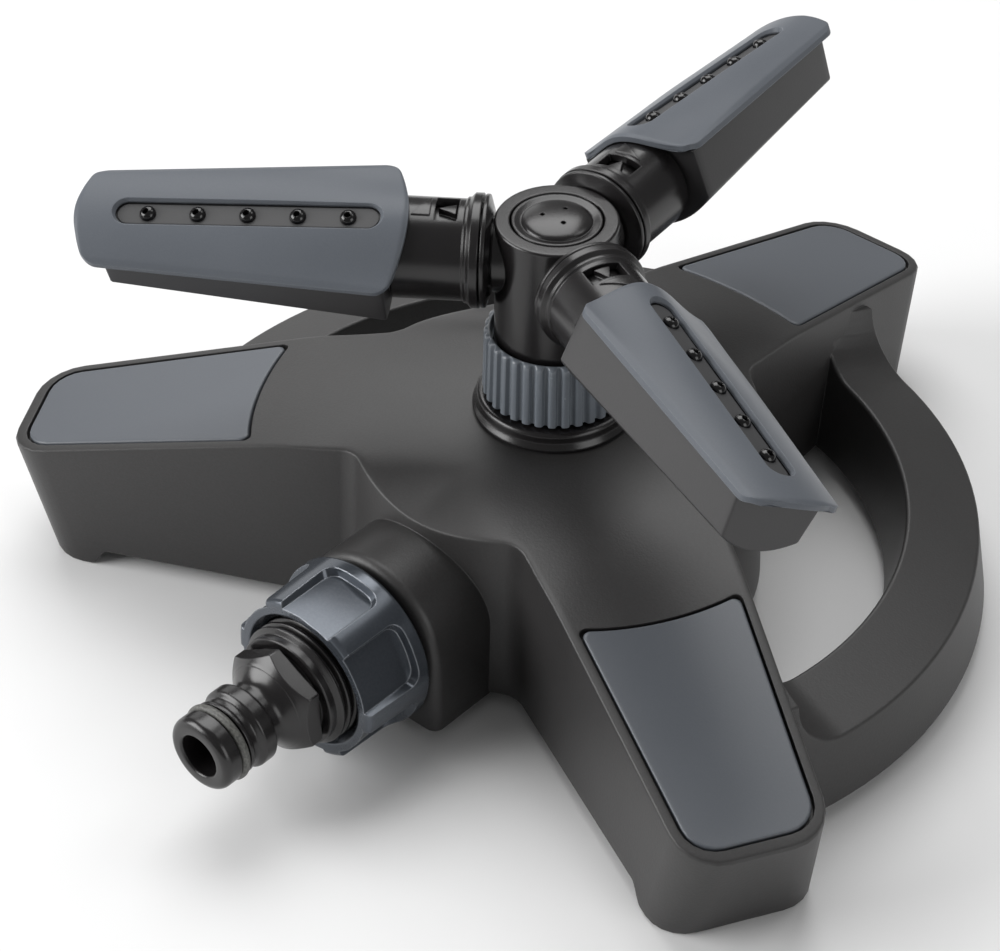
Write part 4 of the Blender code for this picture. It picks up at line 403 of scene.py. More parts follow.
def makeStudio(settings):
    floorBm = bmesh.new()
    bmesh.ops.create_grid(floorBm, x_segments=1, y_segments=1, size=settings["floorSize"] / 2.0)
    floor = asObject("floor", floorBm)
    paint = bpy.data.materials.new("paleFloor")
    paint.use_nodes = True
    shader = paint.node_tree.nodes["Principled BSDF"]
    shader.inputs["Base Color"].default_value = hexColour(settings["floorColour"])
    shader.inputs["Roughness"].default_value = settings["floorRoughness"]
    floor.data.materials.append(paint)
    world = bpy.data.worlds.new("studioWorld")
    world.use_nodes = True
    background = world.node_tree.nodes["Background"]
    background.inputs["Color"].default_value = hexColour(settings["world"])
    background.inputs["Strength"].default_value = settings["worldStrength"]
    scene.world = world
    for name, place, aim, width, height, watts in settings["lights"]:
        light = bpy.data.lights.new(name, "AREA")
        light.shape = "RECTANGLE"
        light.size, light.size_y, light.energy = width, height, watts
        lamp = bpy.data.objects.new(name, light)
        scene.collection.objects.link(lamp)
        aimed = (Vector((0.0, 0.0, aim)) - Vector(place)).to_track_quat("-Z", "Y")
        lamp.matrix_world = Matrix.Translation(place) @ aimed.to_matrix().to_4x4()


makeCamera(cameraFit)
makeStudio(studio)
print("camera and studio made")


# Base shell with straps, inlet housing and panel beds

base = sizes({
    "reach": 0.1159, "half": 0.0148, "taper": 4.5, "corner": 0.0093, "crown": 0.0432, "fillet": 0.0060,
    "footReach": 0.1078, "footHalf": 0.0163, "footTaper": 4.6, "footCorner": 0.0080, "skirt": 0.0446,
    "tipHeight": 0.0266, "slope": 13.7, "seatHeight": 0.0461, "flattening": 0.0550, "seatRadius": 0.01705,
    "seatGap": 0.0003, "bore": 0.0123, "crownEnd": 0.045, "legStart": 0.058, "valleyDip": 0.0023,
    "clearance": 0.0038, "footStart": 0.0944, "footStep": 0.0041, "wall": 0.0025, "topWall": 0.0036,
    "rim": 0.0007, "footEdge": 0.0008, "stepPoints": 8, "sidePoints": 12, "filletPoints": 10,
    "topShares": (0.05, 0.12, 0.2, 0.29, 0.39, 0.5, 0.62, 0.74, 0.86, 0.95, 1.0),
    "wallShares": (0.0, 0.2, 0.45, 0.7, 0.9), "innerShares": (0.97, 0.5, 0.0),
    "ceilingShares": (0.9, 0.6, 0.3)})
panelBed = sizes({
    "outer": 0.1135, "outerHalf": 0.0124, "inner": 0.0628, "innerHalf": 0.0165, "outerCorner": 0.0064,
    "innerCorner": 0.0032, "depth": 0.0016, "groove": 0.0006, "trim": 1.3, "endPoints": 10})
inlay = sizes({
    "crest": 0.0001, "edge": 0.0005, "under": 0.0003})
strap = sizes({
    "height": 0.0208, "fall": 0.0020, "topInner": 0.0742, "topOuter": 0.0897, "footInner": 0.0708,
    "footOuter": 0.0921, "rise": 0.0110, "shortfall": 0.0012, "edge": 0.0008, "sunk": 0.6, "risePoints": 14,
    "bunching": 1.5, "spanPoints": 33, "lean": 0.5})
housing = sizes({
    "radius": 0.0177, "reach": 0.0570, "edge": 0.0024, "edgePoints": 8, "archPoints": 40, "back": 0.85,
    "tunnelBack": 0.7, "hole": 0.0113, "holeDepth": 0.006, "holeOver": 0.003})
screwPost = sizes({
    "place": 0.022, "radius": 0.0033, "bottom": 0.0318, "top": 0.0430})


def halfLegOutline(shape, reach, half, taper, corner, crown, fillet):
    # From the middle of a leg's tip round its corner and along its side to the middle of the valley
    slope = math.tan(math.radians(taper))
    lift = half + reach * slope
    tip = softened([(reach, -half), (reach, half, corner), (0.0, lift)], closed=False)[1:-1]
    points = [(reach, 0.0), (reach, tip[0][1] * 0.5)] + tip
    edgeLift = lift + fillet / math.cos(math.radians(taper))
    a = 1.0 + slope * slope
    b = -2.0 * edgeLift * slope
    c = edgeLift * edgeLift - (crown + fillet) ** 2
    centreAlong = (-b + math.sqrt(b * b - 4.0 * a * c)) / (2.0 * a)
    centre = (centreAlong, edgeLift - slope * centreAlong)
    sideEnd = centreAlong - fillet * math.sin(math.radians(taper))
    footStart, detail = shape.footStart, shape.filletPoints
    stations = [footStart + shape.footStep * (1.0 - share) for share in shares(shape.stepPoints)]
    stations += [blend(footStart, sideEnd, share) for share in shares(shape.sidePoints)[1:-1]]
    points += [(s, half + (reach - s) * slope) for s in stations]
    touch = math.degrees(math.atan2(centre[1], centre[0]))
    points += arcPoints(centre, fillet, 270.0 - taper, 180.0 + touch, detail)
    return points + arcPoints((0.0, 0.0), crown, touch, legSpacing / 2.0, detail)[1:]


def baseOutline(shape, inset=0.0, foot=False):
    keys = ("reach", "half", "taper", "corner", "crown")
    if foot:
        keys = ("footReach", "footHalf", "footTaper", "footCorner", "skirt")
    reach, half, taper, corner, crown = (getattr(shape, key) for key in keys)
    half = halfLegOutline(shape, reach - inset, half - inset, taper, corner - inset, crown - inset,
                          shape.fillet + inset)
    whole = []
    for angle in legAngles:
        turn = Matrix.Rotation(math.radians(angle), 2)
        left = [turn @ Vector((s, -w)) for s, w in half[1:]]
        whole += left[::-1] + [turn @ Vector(point) for point in half[:-1]]
    return whole


def nearestLeg(x, y):
    places = []
    for angle in legAngles:
        turn = math.radians(angle)
        across = y * math.cos(turn) - x * math.sin(turn)
        places.append((x * math.cos(turn) + y * math.sin(turn), abs(across)))
    return max(places)


def ridgeHeight(shape, place):
    return shape.tipHeight + (shape.reach - place) * math.tan(math.radians(shape.slope))


def legSide(shape, place):
    return shape.half + (shape.reach - place) * math.tan(math.radians(shape.taper))


def crownHeight(shape, x, y):
    along, across = nearestLeg(x, y)
    place = blend(math.hypot(x, y), along, easeStep(along, shape.crownEnd, shape.legStart))
    bend = ridgeHeight(shape, shape.seatRadius) - shape.seatHeight
    bend /= (shape.flattening - shape.seatRadius) ** 2
    inside = max(shape.flattening - place, 0.0)
    valley = shape.crown * math.sin(math.radians(legSpacing / 2.0))
    dip = shape.valleyDip * easeStep(across, legSide(shape, along), valley)
    return ridgeHeight(shape, place) - bend * inside * inside - dip


def footHeight(shape, x, y):
    start = shape.footStart
    return shape.clearance * (1.0 - easeStep(nearestLeg(x, y)[0], start, start + shape.footStep))


def baseLoops(shape):
    # From the seat's bore over the top, down the wall, under its edge and back up inside
    seatEdge = shape.seatRadius + shape.seatGap
    outer, foot = baseOutline(shape), baseOutline(shape, 0.0, True)
    innerTop, innerFoot = baseOutline(shape, shape.wall), baseOutline(shape, shape.wall, True)

    def circle(radius, height):
        return [(p.x / p.length * radius, p.y / p.length * radius, height) for p in outer]

    def spread(outline, share, drop):
        spots = [(p * (seatEdge / p.length)).lerp(p, share) for p in outline]
        return [(spot.x, spot.y, crownHeight(shape, spot.x, spot.y) - drop) for spot in spots]

    def onWall(upper, lower, top, height):
        spot = upper.lerp(lower, (top - height) / top)
        return (spot.x, spot.y, height)

    def wall(upper, lower, drop, share):
        # One loop on the wall, share 0 at the top edge and 1 at the foot
        spots = []
        for t, b in zip(upper, lower):
            top = crownHeight(shape, t.x, t.y) - drop
            spots.append(onWall(t, b, top, blend(top, footHeight(shape, b.x, b.y), share)))
        return spots

    def underEdge(inset, lift):
        spots = []
        for t, b in zip(baseOutline(shape, inset), baseOutline(shape, inset, True)):
            spots.append(onWall(t, b, crownHeight(shape, t.x, t.y), footHeight(shape, b.x, b.y) + lift))
        return spots

    rim, edge, ceiling = shape.rim, shape.footEdge, shape.topWall
    loops = [circle(radius, shape.seatHeight) for radius in (shape.bore, seatEdge)]
    loops += [spread(baseOutline(shape, rim), share, 0.0) for share in shape.topShares]
    halfRim = baseOutline(shape, rim * roundShare)
    loops.append([(p.x, p.y, crownHeight(shape, p.x, p.y) - rim * roundShare) for p in halfRim])
    loops += [wall(outer, foot, rim, share) for share in shape.wallShares]
    loops += [underEdge(0.0, edge), underEdge(edge * roundShare, edge * roundShare), underEdge(edge, 0.0),
              underEdge(shape.wall - edge * 0.5, 0.0)]
    loops += [wall(innerTop, innerFoot, ceiling, share) for share in shape.innerShares]
    loops += [spread(innerTop, share, ceiling) for share in shape.ceilingShares]
    return loops + [circle(radius, shape.seatHeight - ceiling) for radius in (seatEdge, shape.bore)]


def strapLoops(settings, shape, startAngle, endAngle):
    # Sections from inside one leg to inside the next, rising towards both
    height, low, wall, e = settings.height, shape.clearance, shape.wall, settings.edge
    innerTop, outerTop = settings.topInner, settings.topOuter
    innerFoot, outerFoot = settings.footInner, settings.footOuter
    middle = (innerTop + outerTop) / 2.0
    side = legSide(shape, middle)
    fullRise = ridgeHeight(shape, middle) - settings.shortfall - height
    places = [side - wall * settings.sunk]
    places += [side + settings.rise * share ** settings.bunching for share in shares(settings.risePoints)]
    turns = [math.degrees(math.asin(place / middle)) for place in places]
    last, spanPoints = turns[-1], settings.spanPoints
    turns += [blend(last, legSpacing - last, share) for share in shares(spanPoints)[1:spanPoints // 2 + 1]]
    turns += [legSpacing - turn for turn in turns[::-1]]
    loops = []
    for turn in turns:
        across = middle * math.sin(math.radians(min(turn, legSpacing - turn)))
        rise = min(max(1.0 - (across - side) / settings.rise, 0.0), 1.0)
        top = height + fullRise * (1.0 - math.sqrt(1.0 - rise * rise))
        lean = (top - height) / (height - low) * settings.lean
        angle = math.radians(blend(startAngle, endAngle, turn / legSpacing))
        section = softened([
            (outerFoot, low, e * 0.5), (blend(outerTop, outerFoot, -lean), top - settings.fall, e),
            (blend(innerTop, innerFoot, -lean), top + settings.fall, e), (innerFoot, low, e * 0.5),
            (innerFoot + wall, low), (innerTop + wall, height - wall), (outerTop - wall, height - wall),
            (outerFoot - wall, low)])
        loops.append([(r * math.cos(angle), r * math.sin(angle), z) for r, z in section])
    return loops


def archOutline(settings, inset, bottom):
    radius = settings.radius - inset
    points = arcPoints((0.0, inletHeight), radius, 0.0, 180.0, settings.archPoints)
    return points + [(-radius, bottom), (radius, bottom)]


def archLoop(settings, inset, place, bottom):
    return [(x, -place, z) for x, z in archOutline(settings, inset, bottom)]


def housingLoops(settings, shape):
    loops = [archLoop(settings, 0.0, shape.skirt * settings.back, shape.clearance)]
    for share in shares(settings.edgePoints):
        turn = math.radians(90.0 * share)
        place = settings.reach - settings.edge * (1.0 - math.sin(turn))
        loops.append(archLoop(settings, settings.edge * (1.0 - math.cos(turn)), place, shape.clearance))
    return loops


def panelOutline(bed, margin):
    outer, outerHalf = bed.outer + margin, bed.outerHalf + margin
    innerHalf, radius = bed.innerHalf + margin, bed.inner - margin
    outerCorner, innerCorner = bed.outerCorner + margin, bed.innerCorner
    innerAlong = math.sqrt(radius ** 2 - innerHalf ** 2)
    swing = math.degrees(math.asin(innerHalf / radius)) - math.degrees(innerCorner / radius) * bed.trim
    end = arcPoints((0.0, 0.0), radius, -swing, swing, bed.endPoints)
    return softened([(outer, outerHalf, outerCorner), (outer, -outerHalf, outerCorner),
                     (innerAlong, -innerHalf, innerCorner), *end, (innerAlong, innerHalf, innerCorner)])


def onLeg(angle, shape, bed):
    middle = (bed.outer + bed.inner) / 2.0
    seat = Matrix.Translation((middle, 0.0, ridgeHeight(shape, middle)))
    tilt = Matrix.Rotation(math.radians(shape.slope), 4, "Y")
    return onAxis @ facing(angle) @ seat @ tilt @ Matrix.Translation((-middle, 0.0, 0.0))


def makeBase():
    shell = asObject("baseShell", moved(lofted(baseLoops(base), closed=True), onAxis))
    joined = [strapLoops(strap, base, 90.0, end) for end in (210.0, -30.0)] + [housingLoops(housing, base)]
    tools = [("UNION", moved(lofted(loops), onAxis)) for loops in joined]
    ends = (base.skirt * housing.tunnelBack, housing.reach - base.wall)
    tunnel = [archLoop(housing, base.wall, place, -base.clearance) for place in ends]
    hole = rod(housing.hole, housing.reach - housing.holeDepth, housing.reach + housing.holeOver,
               64, along=True)
    tools += [("DIFFERENCE", moved(lofted(tunnel), onAxis)), ("DIFFERENCE", moved(hole, onInlet))]
    outline = panelOutline(panelBed, panelBed.groove)
    beds = [[(x, y, z) for x, y in outline] for z in (-panelBed.depth, panelBed.depth)]
    for angle in legAngles:
        tools.append(("DIFFERENCE", moved(lofted(beds), onLeg(angle, base, panelBed))))
        post = rod(screwPost.radius, screwPost.bottom, screwPost.top, 32)
        spot = onAxis @ facing(angle) @ Matrix.Translation((screwPost.place, 0.0, 0.0))
        tools.append(("UNION", moved(post, spot)))
    dress(carve(shell, tools), grainedAbs, "base", ["base_shell"])


def makeInlays():
    # The edge is a quarter round through 0, 30, 60 and 90 degrees
    crest, edge = inlay.crest, inlay.edge
    stations = ((0.0, inlay.under - panelBed.depth), (0.0, crest - edge), (edge * 0.13, crest - edge * 0.5),
                (edge * 0.5, crest - edge * 0.13), (edge, crest))
    for index, angle in enumerate(legAngles):
        loops = [[(x, y, height) for x, y in panelOutline(panelBed, -inset)] for inset, height in stations]
        dressed(f"legInlay{index + 1}", lofted(loops), onLeg(angle, base, panelBed), slateInlay, "base",
                f"leg_panel_{index + 1}")


makeBase()
makeInlays()
print("base and inlays made")


# Centre: seat, collar, hub and cap

seat = sizes({
    "flange": 0.01705, "step": 0.0163, "neck": 0.0128, "bottom": 0.0464, "lip": 0.0006, "flangeTop": 0.0482,
    "stepTop": 0.0504, "neckTop": 0.0578, "barrel": 0.0120, "barrelBottom": 0.0364, "bore": 0.0063,
    "rounding": 0.0015, "stepRound": 0.0012})
collar = sizes({
    "bottom": 0.0509, "top": 0.0657, "bottomRadius": 0.0150, "topRadius": 0.0146, "ribs": 33,
    "ribDepth": 0.00085, "ribTurn": 1.5, "ribPoints": 12, "ribShift": 0.4, "ribTop": 0.42, "ribFoot": 0.82,
    "ribCrown": 0.0001, "rimRound": 0.00016, "ribEnd": 0.0008, "endDrop": 0.00012, "endInset": 0.00035,
    "foot": 0.0003, "bore": 0.0131, "mouth": 0.0133, "lipBore": 0.0128, "lipTop": 0.0623, "lip": 0.0611,
    "shoulder": 0.0578, "shoulderFall": 0.0003, "flangeBore": 0.0135, "sides": (0.25, 0.5, 0.75, 0.9)})
hubShape = sizes({
    "radius": 0.0125, "top": 0.0920, "chamber": 0.0094, "bottom": 0.0592, "flange": 0.0132,
    "flangeTop": 0.0608, "bore": 0.0063, "sealBore": 0.0090, "sealTop": 0.0616, "chamberFloor": 0.0710,
    "boss": 0.0080, "bossGap": 0.0002, "port": 0.0069, "portStart": 0.0045, "portEnd": 0.02,
    "topRound": 0.0006})
cap = sizes({
    "rim": 0.0091, "rimWidth": 0.0006, "rimRound": 0.0004, "bottom": 0.0884, "top": 0.0920,
    "groove": 0.0916, "grooveWidth": 0.0003, "dome": 0.0071, "domeHeight": 0.0016, "domePoints": 14,
    "holeRadius": 0.0005, "holeCircle": 0.0029, "holeBottom": 0.0902, "holeTop": 0.095})


def makeSeat():
    s = seat
    profile = softened([
        (s.bore, s.barrelBottom), (s.barrel, s.barrelBottom), (s.barrel, s.bottom),
        (s.flange, s.bottom, fine), (s.flange, s.bottom + s.lip, soft),
        (s.step, s.flangeTop, s.stepRound), (s.step, s.stepTop, s.rounding),
        (s.neck, s.stepTop), (s.neck, s.neckTop), (s.bore, s.neckTop)])
    dressed("rotorSeat", turned(profile, 128), onAxis, blackAcetal, "base", "rotor_seat")


def makeCollar():
    c = collar
    perRib = c.ribPoints
    count = c.ribs * perRib

    def ribbed(radius, height, depthShare=0.0):
        spots = []
        for i in range(count):
            turn = math.tau * i / count + math.radians(c.ribTurn)
            phase = abs(((i % perRib) / perRib + c.ribShift) % 1.0 * 2.0 - 1.0)  # 0 on a rib, 1 in the groove
            depth = c.ribDepth * easeStep(phase, c.ribTop, c.ribFoot)
            depth += c.ribCrown * min(phase / c.ribTop, 1.0) ** 2
            reach = radius - depth * depthShare
            spots.append((reach * math.cos(turn), reach * math.sin(turn), height))
        return spots

    top, bottom, end, topRadius = c.top, c.bottom, c.ribEnd, c.topRadius
    inner = topRadius - c.ribDepth
    rings = [(c.bore, bottom), (c.bottomRadius - c.foot, bottom, 1.0),
             (c.bottomRadius, bottom + c.foot, 1.0)]
    rings += [(blend(c.bottomRadius, topRadius, share), blend(bottom, top, share), 1.0) for share in c.sides]
    rings += [(topRadius, top - end, 1.0), (topRadius - c.endDrop, top - end * 0.55, 0.85),
              (inner + c.endInset, top - end * 0.2, 0.35), (inner, top), (c.mouth + c.rimRound, top),
              (c.mouth, top - c.rimRound), (c.mouth, c.lipTop), (c.lipBore, c.lipTop),
              (c.lipBore, c.lip), (c.flangeBore, c.lip), (c.flangeBore, c.shoulder),
              (c.bore, c.shoulder - c.shoulderFall)]
    bm = moved(lofted([ribbed(*ring) for ring in rings], closed=True), onAxis)
    dress(asObject("knurledCollar", bm), slateNylon, "collar", ["knurled_collar"], 40.0)


def makeHub():
    h = hubShape
    profile = softened([
        (h.sealBore, h.bottom), (h.flange, h.bottom), (h.flange, h.flangeTop),
        (h.radius, h.flangeTop), (h.radius, h.top, h.topRound), (h.chamber, h.top, soft),
        (h.chamber, h.chamberFloor), (h.bore, h.chamberFloor), (h.bore, h.sealTop),
        (h.sealBore, h.sealTop)])
    body = asObject("hubBody", moved(turned(profile, 128), onAxis))
    start = h.chamber + h.bossGap
    bossProfile = softened([(0.0, start), (h.boss, start), (h.boss, h.radius, fine), (0.0, h.radius)])
    bosses, ports = [], []
    for angle in armAngles:
        place = onAxis @ Matrix.Translation((0.0, 0.0, armHeight)) @ facing(angle)
        bosses.append(moved(turned(bossProfile, 72, along=True), place))
        ports.append(moved(rod(h.port, h.portStart, h.portEnd, 48, along=True), place))
    # All three at once, because one port after another left the wall round them open
    carve(body, [("UNION", combined(*bosses)), ("DIFFERENCE", combined(*ports))])
    dress(body, blackAcetal, "rotor", ["hub_body"])


def makeCap():
    c = cap
    turns = [math.pi / 2.0 * share for share in shares(c.domePoints)[:-1]]
    profile = softened([(0.0, c.bottom), (c.rim, c.bottom), (c.rim, c.top, soft),
                        (c.rim - c.rimWidth, c.top, c.rimRound),
                        (c.dome + c.grooveWidth, c.groove, soft)], closed=False)
    profile += [(c.dome * math.cos(t), c.groove + c.domeHeight * math.sin(t)) for t in turns]
    profile.append((0.0, c.groove + c.domeHeight))
    piece = asObject("hubCap", moved(turned(profile), onAxis))
    tools = []
    for angle in armAngles:
        spot = onAxis @ facing(angle) @ Matrix.Translation((c.holeCircle, 0.0, 0.0)) @ facing(-angle)
        tools.append(("DIFFERENCE", moved(rod(c.holeRadius, c.holeBottom, c.holeTop, 20), spot)))
    dress(carve(piece, tools), blackAcetal, "rotor", ["hub_cap"])


makeSeat()
makeCollar()
makeHub()
makeCap()
print("centre made")


# Inlet: nut, plug and O-ring

nut = sizes({
    "start": 0.0589, "end": 0.0761, "radius": 0.0186, "front": 0.0180, "mouth": 0.0149,
    "mouthDepth": 0.0022, "thread": 0.0135, "bore": 0.0113, "backWall": 0.0033, "pockets": 6,
    "pocketAngle": 43.0, "pocketStart": 0.0622, "pocketOver": 0.0025, "pocketDepth": 0.0020,
    "pocketFlare": 0.0006, "pocketCorner": 0.0024, "pocketPoints": 12, "longSide": 0.004, "turn": -5.0,
    "startRound": 0.0009, "frontRound": 0.0012, "mouthRound": 0.0005, "edge": 0.00045})
plug = sizes({
    "start": 0.0671, "end": 0.1050, "bore": 0.0046, "backRound": 0.0004, "boreRound": 0.0006,
    "nose": 0.0080, "noseRound": 0.0022, "ringPlace": 0.0996, "ringThickness": 0.0019, "ringBed": 0.0064,
    "ringGap": 0.0003, "ringLift": 0.00015, "ridgePlace": 0.0934, "ridge": 0.0086, "ridgeWidth": 0.0030,
    "ridgeRound": 0.0006, "backSlope": 0.0008, "frontSlope": 0.0007, "groove": 0.0075, "grooveEnd": 0.0005,
    "neck": 0.0070, "neckPlace": 0.0895, "neckRound": 0.002, "hexWidth": 0.0206, "hexStart": 0.0815,
    "hexEnd": 0.0862, "hexTurn": 32.0, "hexChamfer": 0.0026, "hexChamferLength": 0.0020, "relief": 0.0008,
    "core": 0.0006, "hexBore": 0.0050, "hexOver": 0.0010, "hexBack": 0.0004, "hexRound": 0.0008,
    "thread": 0.0132, "threadDepth": 0.0011, "pitch": 0.0018, "crest": (0.35, 0.65), "spacing": 1.01})


def pocketTool(settings, middle):
    # A block with two round corners at its back, a little wider outside, that opens the nut's front
    depth, flareOut, corner = settings.pocketDepth, settings.pocketFlare, settings.pocketCorner
    floor = settings.radius - depth
    front = settings.end + settings.pocketOver
    loops = []
    for radius, flare in ((floor, 0.0), (settings.radius + depth, flareOut)):
        half = math.radians(settings.pocketAngle / 2.0) * floor + flare
        back = settings.pocketStart - flare
        outline = softened([(front, -half), (back, -half, corner), (back, half, corner), (front, half)])
        spots = []
        for (x, w), (nextX, nextW) in zip(outline, outline[1:] + outline[:1]):
            # Only the long sides across the pocket need points between, to follow the nut's round
            pieces = settings.pocketPoints if abs(nextW - w) > settings.longSide else 1
            for share in shares(pieces)[:-1]:
                turn = math.radians(middle) + blend(w, nextW, share) / floor
                spots.append((blend(x, nextX, share), radius * math.cos(turn), radius * math.sin(turn)))
        loops.append(spots)
    return lofted(loops)


def makeNut():
    n = nut
    inside = n.start + n.backWall
    profile = softened([
        (n.bore, n.start), (n.radius, n.start, n.startRound), (n.front, n.end, n.frontRound),
        (n.mouth, n.end, n.mouthRound), (n.thread, n.end - n.mouthDepth), (n.thread, inside),
        (n.bore, inside)])
    piece = asObject("swivelNut", moved(turned(profile, 144, along=True), onInlet))
    middles = [90.0 + n.turn + 360.0 / n.pockets * i for i in range(n.pockets)]
    carve(piece, [("DIFFERENCE", moved(pocketTool(n, middle), onInlet)) for middle in middles])
    rounding = piece.modifiers.new("rounding", "BEVEL")  # the soft rims round each pocket
    rounding.width, rounding.segments, rounding.profile = n.edge, 3, 0.5
    rounding.limit_method, rounding.angle_limit = "ANGLE", math.radians(35.0)
    rounding.miter_outer = "MITER_ARC"
    dress(piece, nutNylon, "inlet", ["swivel_nut"])


def hexagonBm(p, corners, waist):
    # A hexagonal block, its front corners turned off to a cone
    start, end, back, lip = p.hexStart, p.hexEnd, p.hexStart - p.hexOver, p.hexBack
    block = bmesh.new()
    bmesh.ops.create_cone(block, cap_ends=True, segments=6, radius1=corners, radius2=corners,
                          depth=end - start)
    bevelled(block, soft, 3, 20.0)
    lay = Matrix.Translation(((start + end) / 2.0, 0.0, 0.0)) @ Matrix.Rotation(math.radians(90.0), 4, "Y")
    moved(block, Matrix.Rotation(math.radians(p.hexTurn), 4, "X") @ lay)
    barrel = turned(softened([
        (p.hexBore, back), (corners - lip, back), (corners, start + lip, lip),
        (corners, end - p.hexChamferLength, p.hexRound), (waist, end), (p.hexBore, end + lip)]),
        128, along=True)
    piece = carve(asObject("hexagonTool", block), [("INTERSECT", barrel)])
    result = bmesh.new()
    result.from_mesh(piece.data)
    discard(piece)
    return result


def makePlug():
    p = plug
    bore, nose, groove, neck, ridge, bed = p.bore, p.nose, p.groove, p.neck, p.ridge, p.ringBed
    root, crest, pitch = p.thread - p.threadDepth, p.thread, p.pitch
    backRound = p.backRound
    profile = [(bore, p.start, backRound), (root, p.start, backRound)]
    place = p.start + pitch / 2.0
    while place + pitch < p.hexStart - pitch / 2.0:
        profile += [(root, place, crisp), (crest, place + pitch * p.crest[0], fine),
                    (crest, place + pitch * p.crest[1], fine), (root, place + pitch, crisp)]
        place += pitch * p.spacing
    corners, waist = p.hexWidth / math.sqrt(3.0), p.hexWidth / math.sqrt(3.0) - p.hexChamfer
    core, relief = p.hexWidth / 2.0 - p.core, p.hexStart - p.relief
    profile += [(root, relief, soft), (core, relief), (core, p.hexEnd - p.core)]
    profile += [(blend(waist, neck, math.sin(math.pi / 2.0 * share)), blend(p.hexEnd, p.neckPlace, share))
                for share in shares(9)[:-1]]
    back, front = p.ridgePlace - p.ridgeWidth / 2.0, p.ridgePlace + p.ridgeWidth / 2.0
    bedHalf = p.ringThickness / 2.0 + p.ringGap
    bedBack, bedFront = p.ringPlace - bedHalf, p.ringPlace + bedHalf
    slopeEnd = bedBack - p.backSlope
    profile += [(neck, p.neckPlace, p.neckRound), (neck, back - p.backSlope, p.ridgeRound),
                (ridge, back, p.ridgeRound), (ridge, front, p.frontSlope),
                (groove, front + p.frontSlope, p.ridgeRound), (groove, slopeEnd - p.grooveEnd, backRound),
                (nose, slopeEnd, soft), (nose, bedBack, fine), (bed, bedBack, crisp), (bed, bedFront, crisp),
                (nose, bedFront, fine), (nose, p.end, p.noseRound), (bore, p.end, p.boreRound)]
    body = turned(softened(profile), 112, along=True)
    whole = combined(body, hexagonBm(p, corners, waist))
    dressed("inletPlug", whole, onInlet, blackAcetal, "inlet", "inlet_plug")
    thick = p.ringThickness / 2.0
    ring = turned(arcPoints((bed + p.ringLift + thick, p.ringPlace), thick, 0.0, 345.0, 23), along=True)
    dressed("plugORing", ring, onInlet, dustyRubber, "inlet", "plug_o_ring")


makeNut()
makePlug()
print("inlet made")


# Arms: stub, sleeve, trough, cover and nozzle strip

stub = sizes({
    "pipe": 0.0066, "bore": 0.0048, "start": 0.0098, "coneStart": 0.0128, "cone": 0.0086,
    "flangeStart": 0.0137, "flangeEnd": 0.0146, "flange": 0.0114, "barrel": 0.0084, "end": 0.0280,
    "ringPlace": 0.0264, "ring": 0.0014, "ringGap": 0.00015, "pointerStart": 0.0199, "pointerTip": 0.0235,
    "pointerHalf": 0.0015, "pointerHeight": 0.0013})
sleeve = sizes({
    "bore": 0.0087, "start": 0.0149, "rim": 0.01155, "rimEnd": 0.0178, "rimFall": 0.0012, "ledge": 0.0004,
    "ledgeEnd": 0.0002, "radius": 0.01025, "end": 0.0324, "spigot": 0.0076, "spigotEnd": 0.0398,
    "pipe": 0.0048, "boreEnd": 0.0283, "windowStart": 0.0195, "windowEnd": 0.0241, "windowHalf": 22.5,
    "windowRadii": (0.0084, 0.013), "markStart": 0.0250, "markTip": 0.0287, "markHalf": 0.0030,
    "markHeight": 0.0003, "markSkew": 1.0})
wedgeShape = sizes({  # each layer: share of the height, share of the outline
    "root": 0.0006, "basePoints": 8, "sidePoints": 6, "middle": 0.33,
    "layers": ((0.7, 1.0), (1.0, 0.94), (1.0, 0.6), (1.0, 0.25))})
trough = sizes({
    "start": 0.0329, "end": 0.0897, "topStart": 0.0145, "floorStart": 0.0143, "topEnd": 0.0101,
    "floorEnd": 0.0089, "depth": 0.0051, "sagStart": 0.0056, "sagEnd": 0.0027, "edge": 0.0006,
    "floorRound": 0.0007, "coverGap": 0.0003})
cover = sizes({
    "start": 0.0314, "startBulge": 0.0024, "end": 0.0947, "endBulge": 0.0015, "startHalf": 0.0150,
    "endHalf": 0.0107, "startEdge": 0.0070, "endEdge": 0.0056, "crest": 0.0119, "crestSlope": 3.6,
    "thickness": 0.0012, "corner": 0.0040, "humpFade": (-0.12, 0.5), "rows": 72, "columns": 44,
    "endBunching": 0.8, "sideBunching": 0.6, "chamfer": 0.0011, "chamferDrop": 0.00035, "edge": 0.00025})
strip = sizes({
    "half": 0.0023, "bevel": 0.0006, "bevelReach": 0.0024, "gap": 0.0003, "cut": 0.0030, "first": 0.0410,
    "pitch": 0.0101, "count": 5, "margin": 0.0062, "sink": 0.0013, "thickness": 0.0020, "nozzle": 0.0017,
    "nozzleHeight": 0.0012, "crater": 0.0008, "hole": 0.0005, "holeDepth": 0.0004, "fan": 3.5,
    "rounding": ((0.0, -0.0002), (-0.00006, -0.00006), (-0.0002, 0.0))})


def onBarrel(place, radius, turn):
    return (place, radius * math.sin(turn), radius * math.cos(turn))


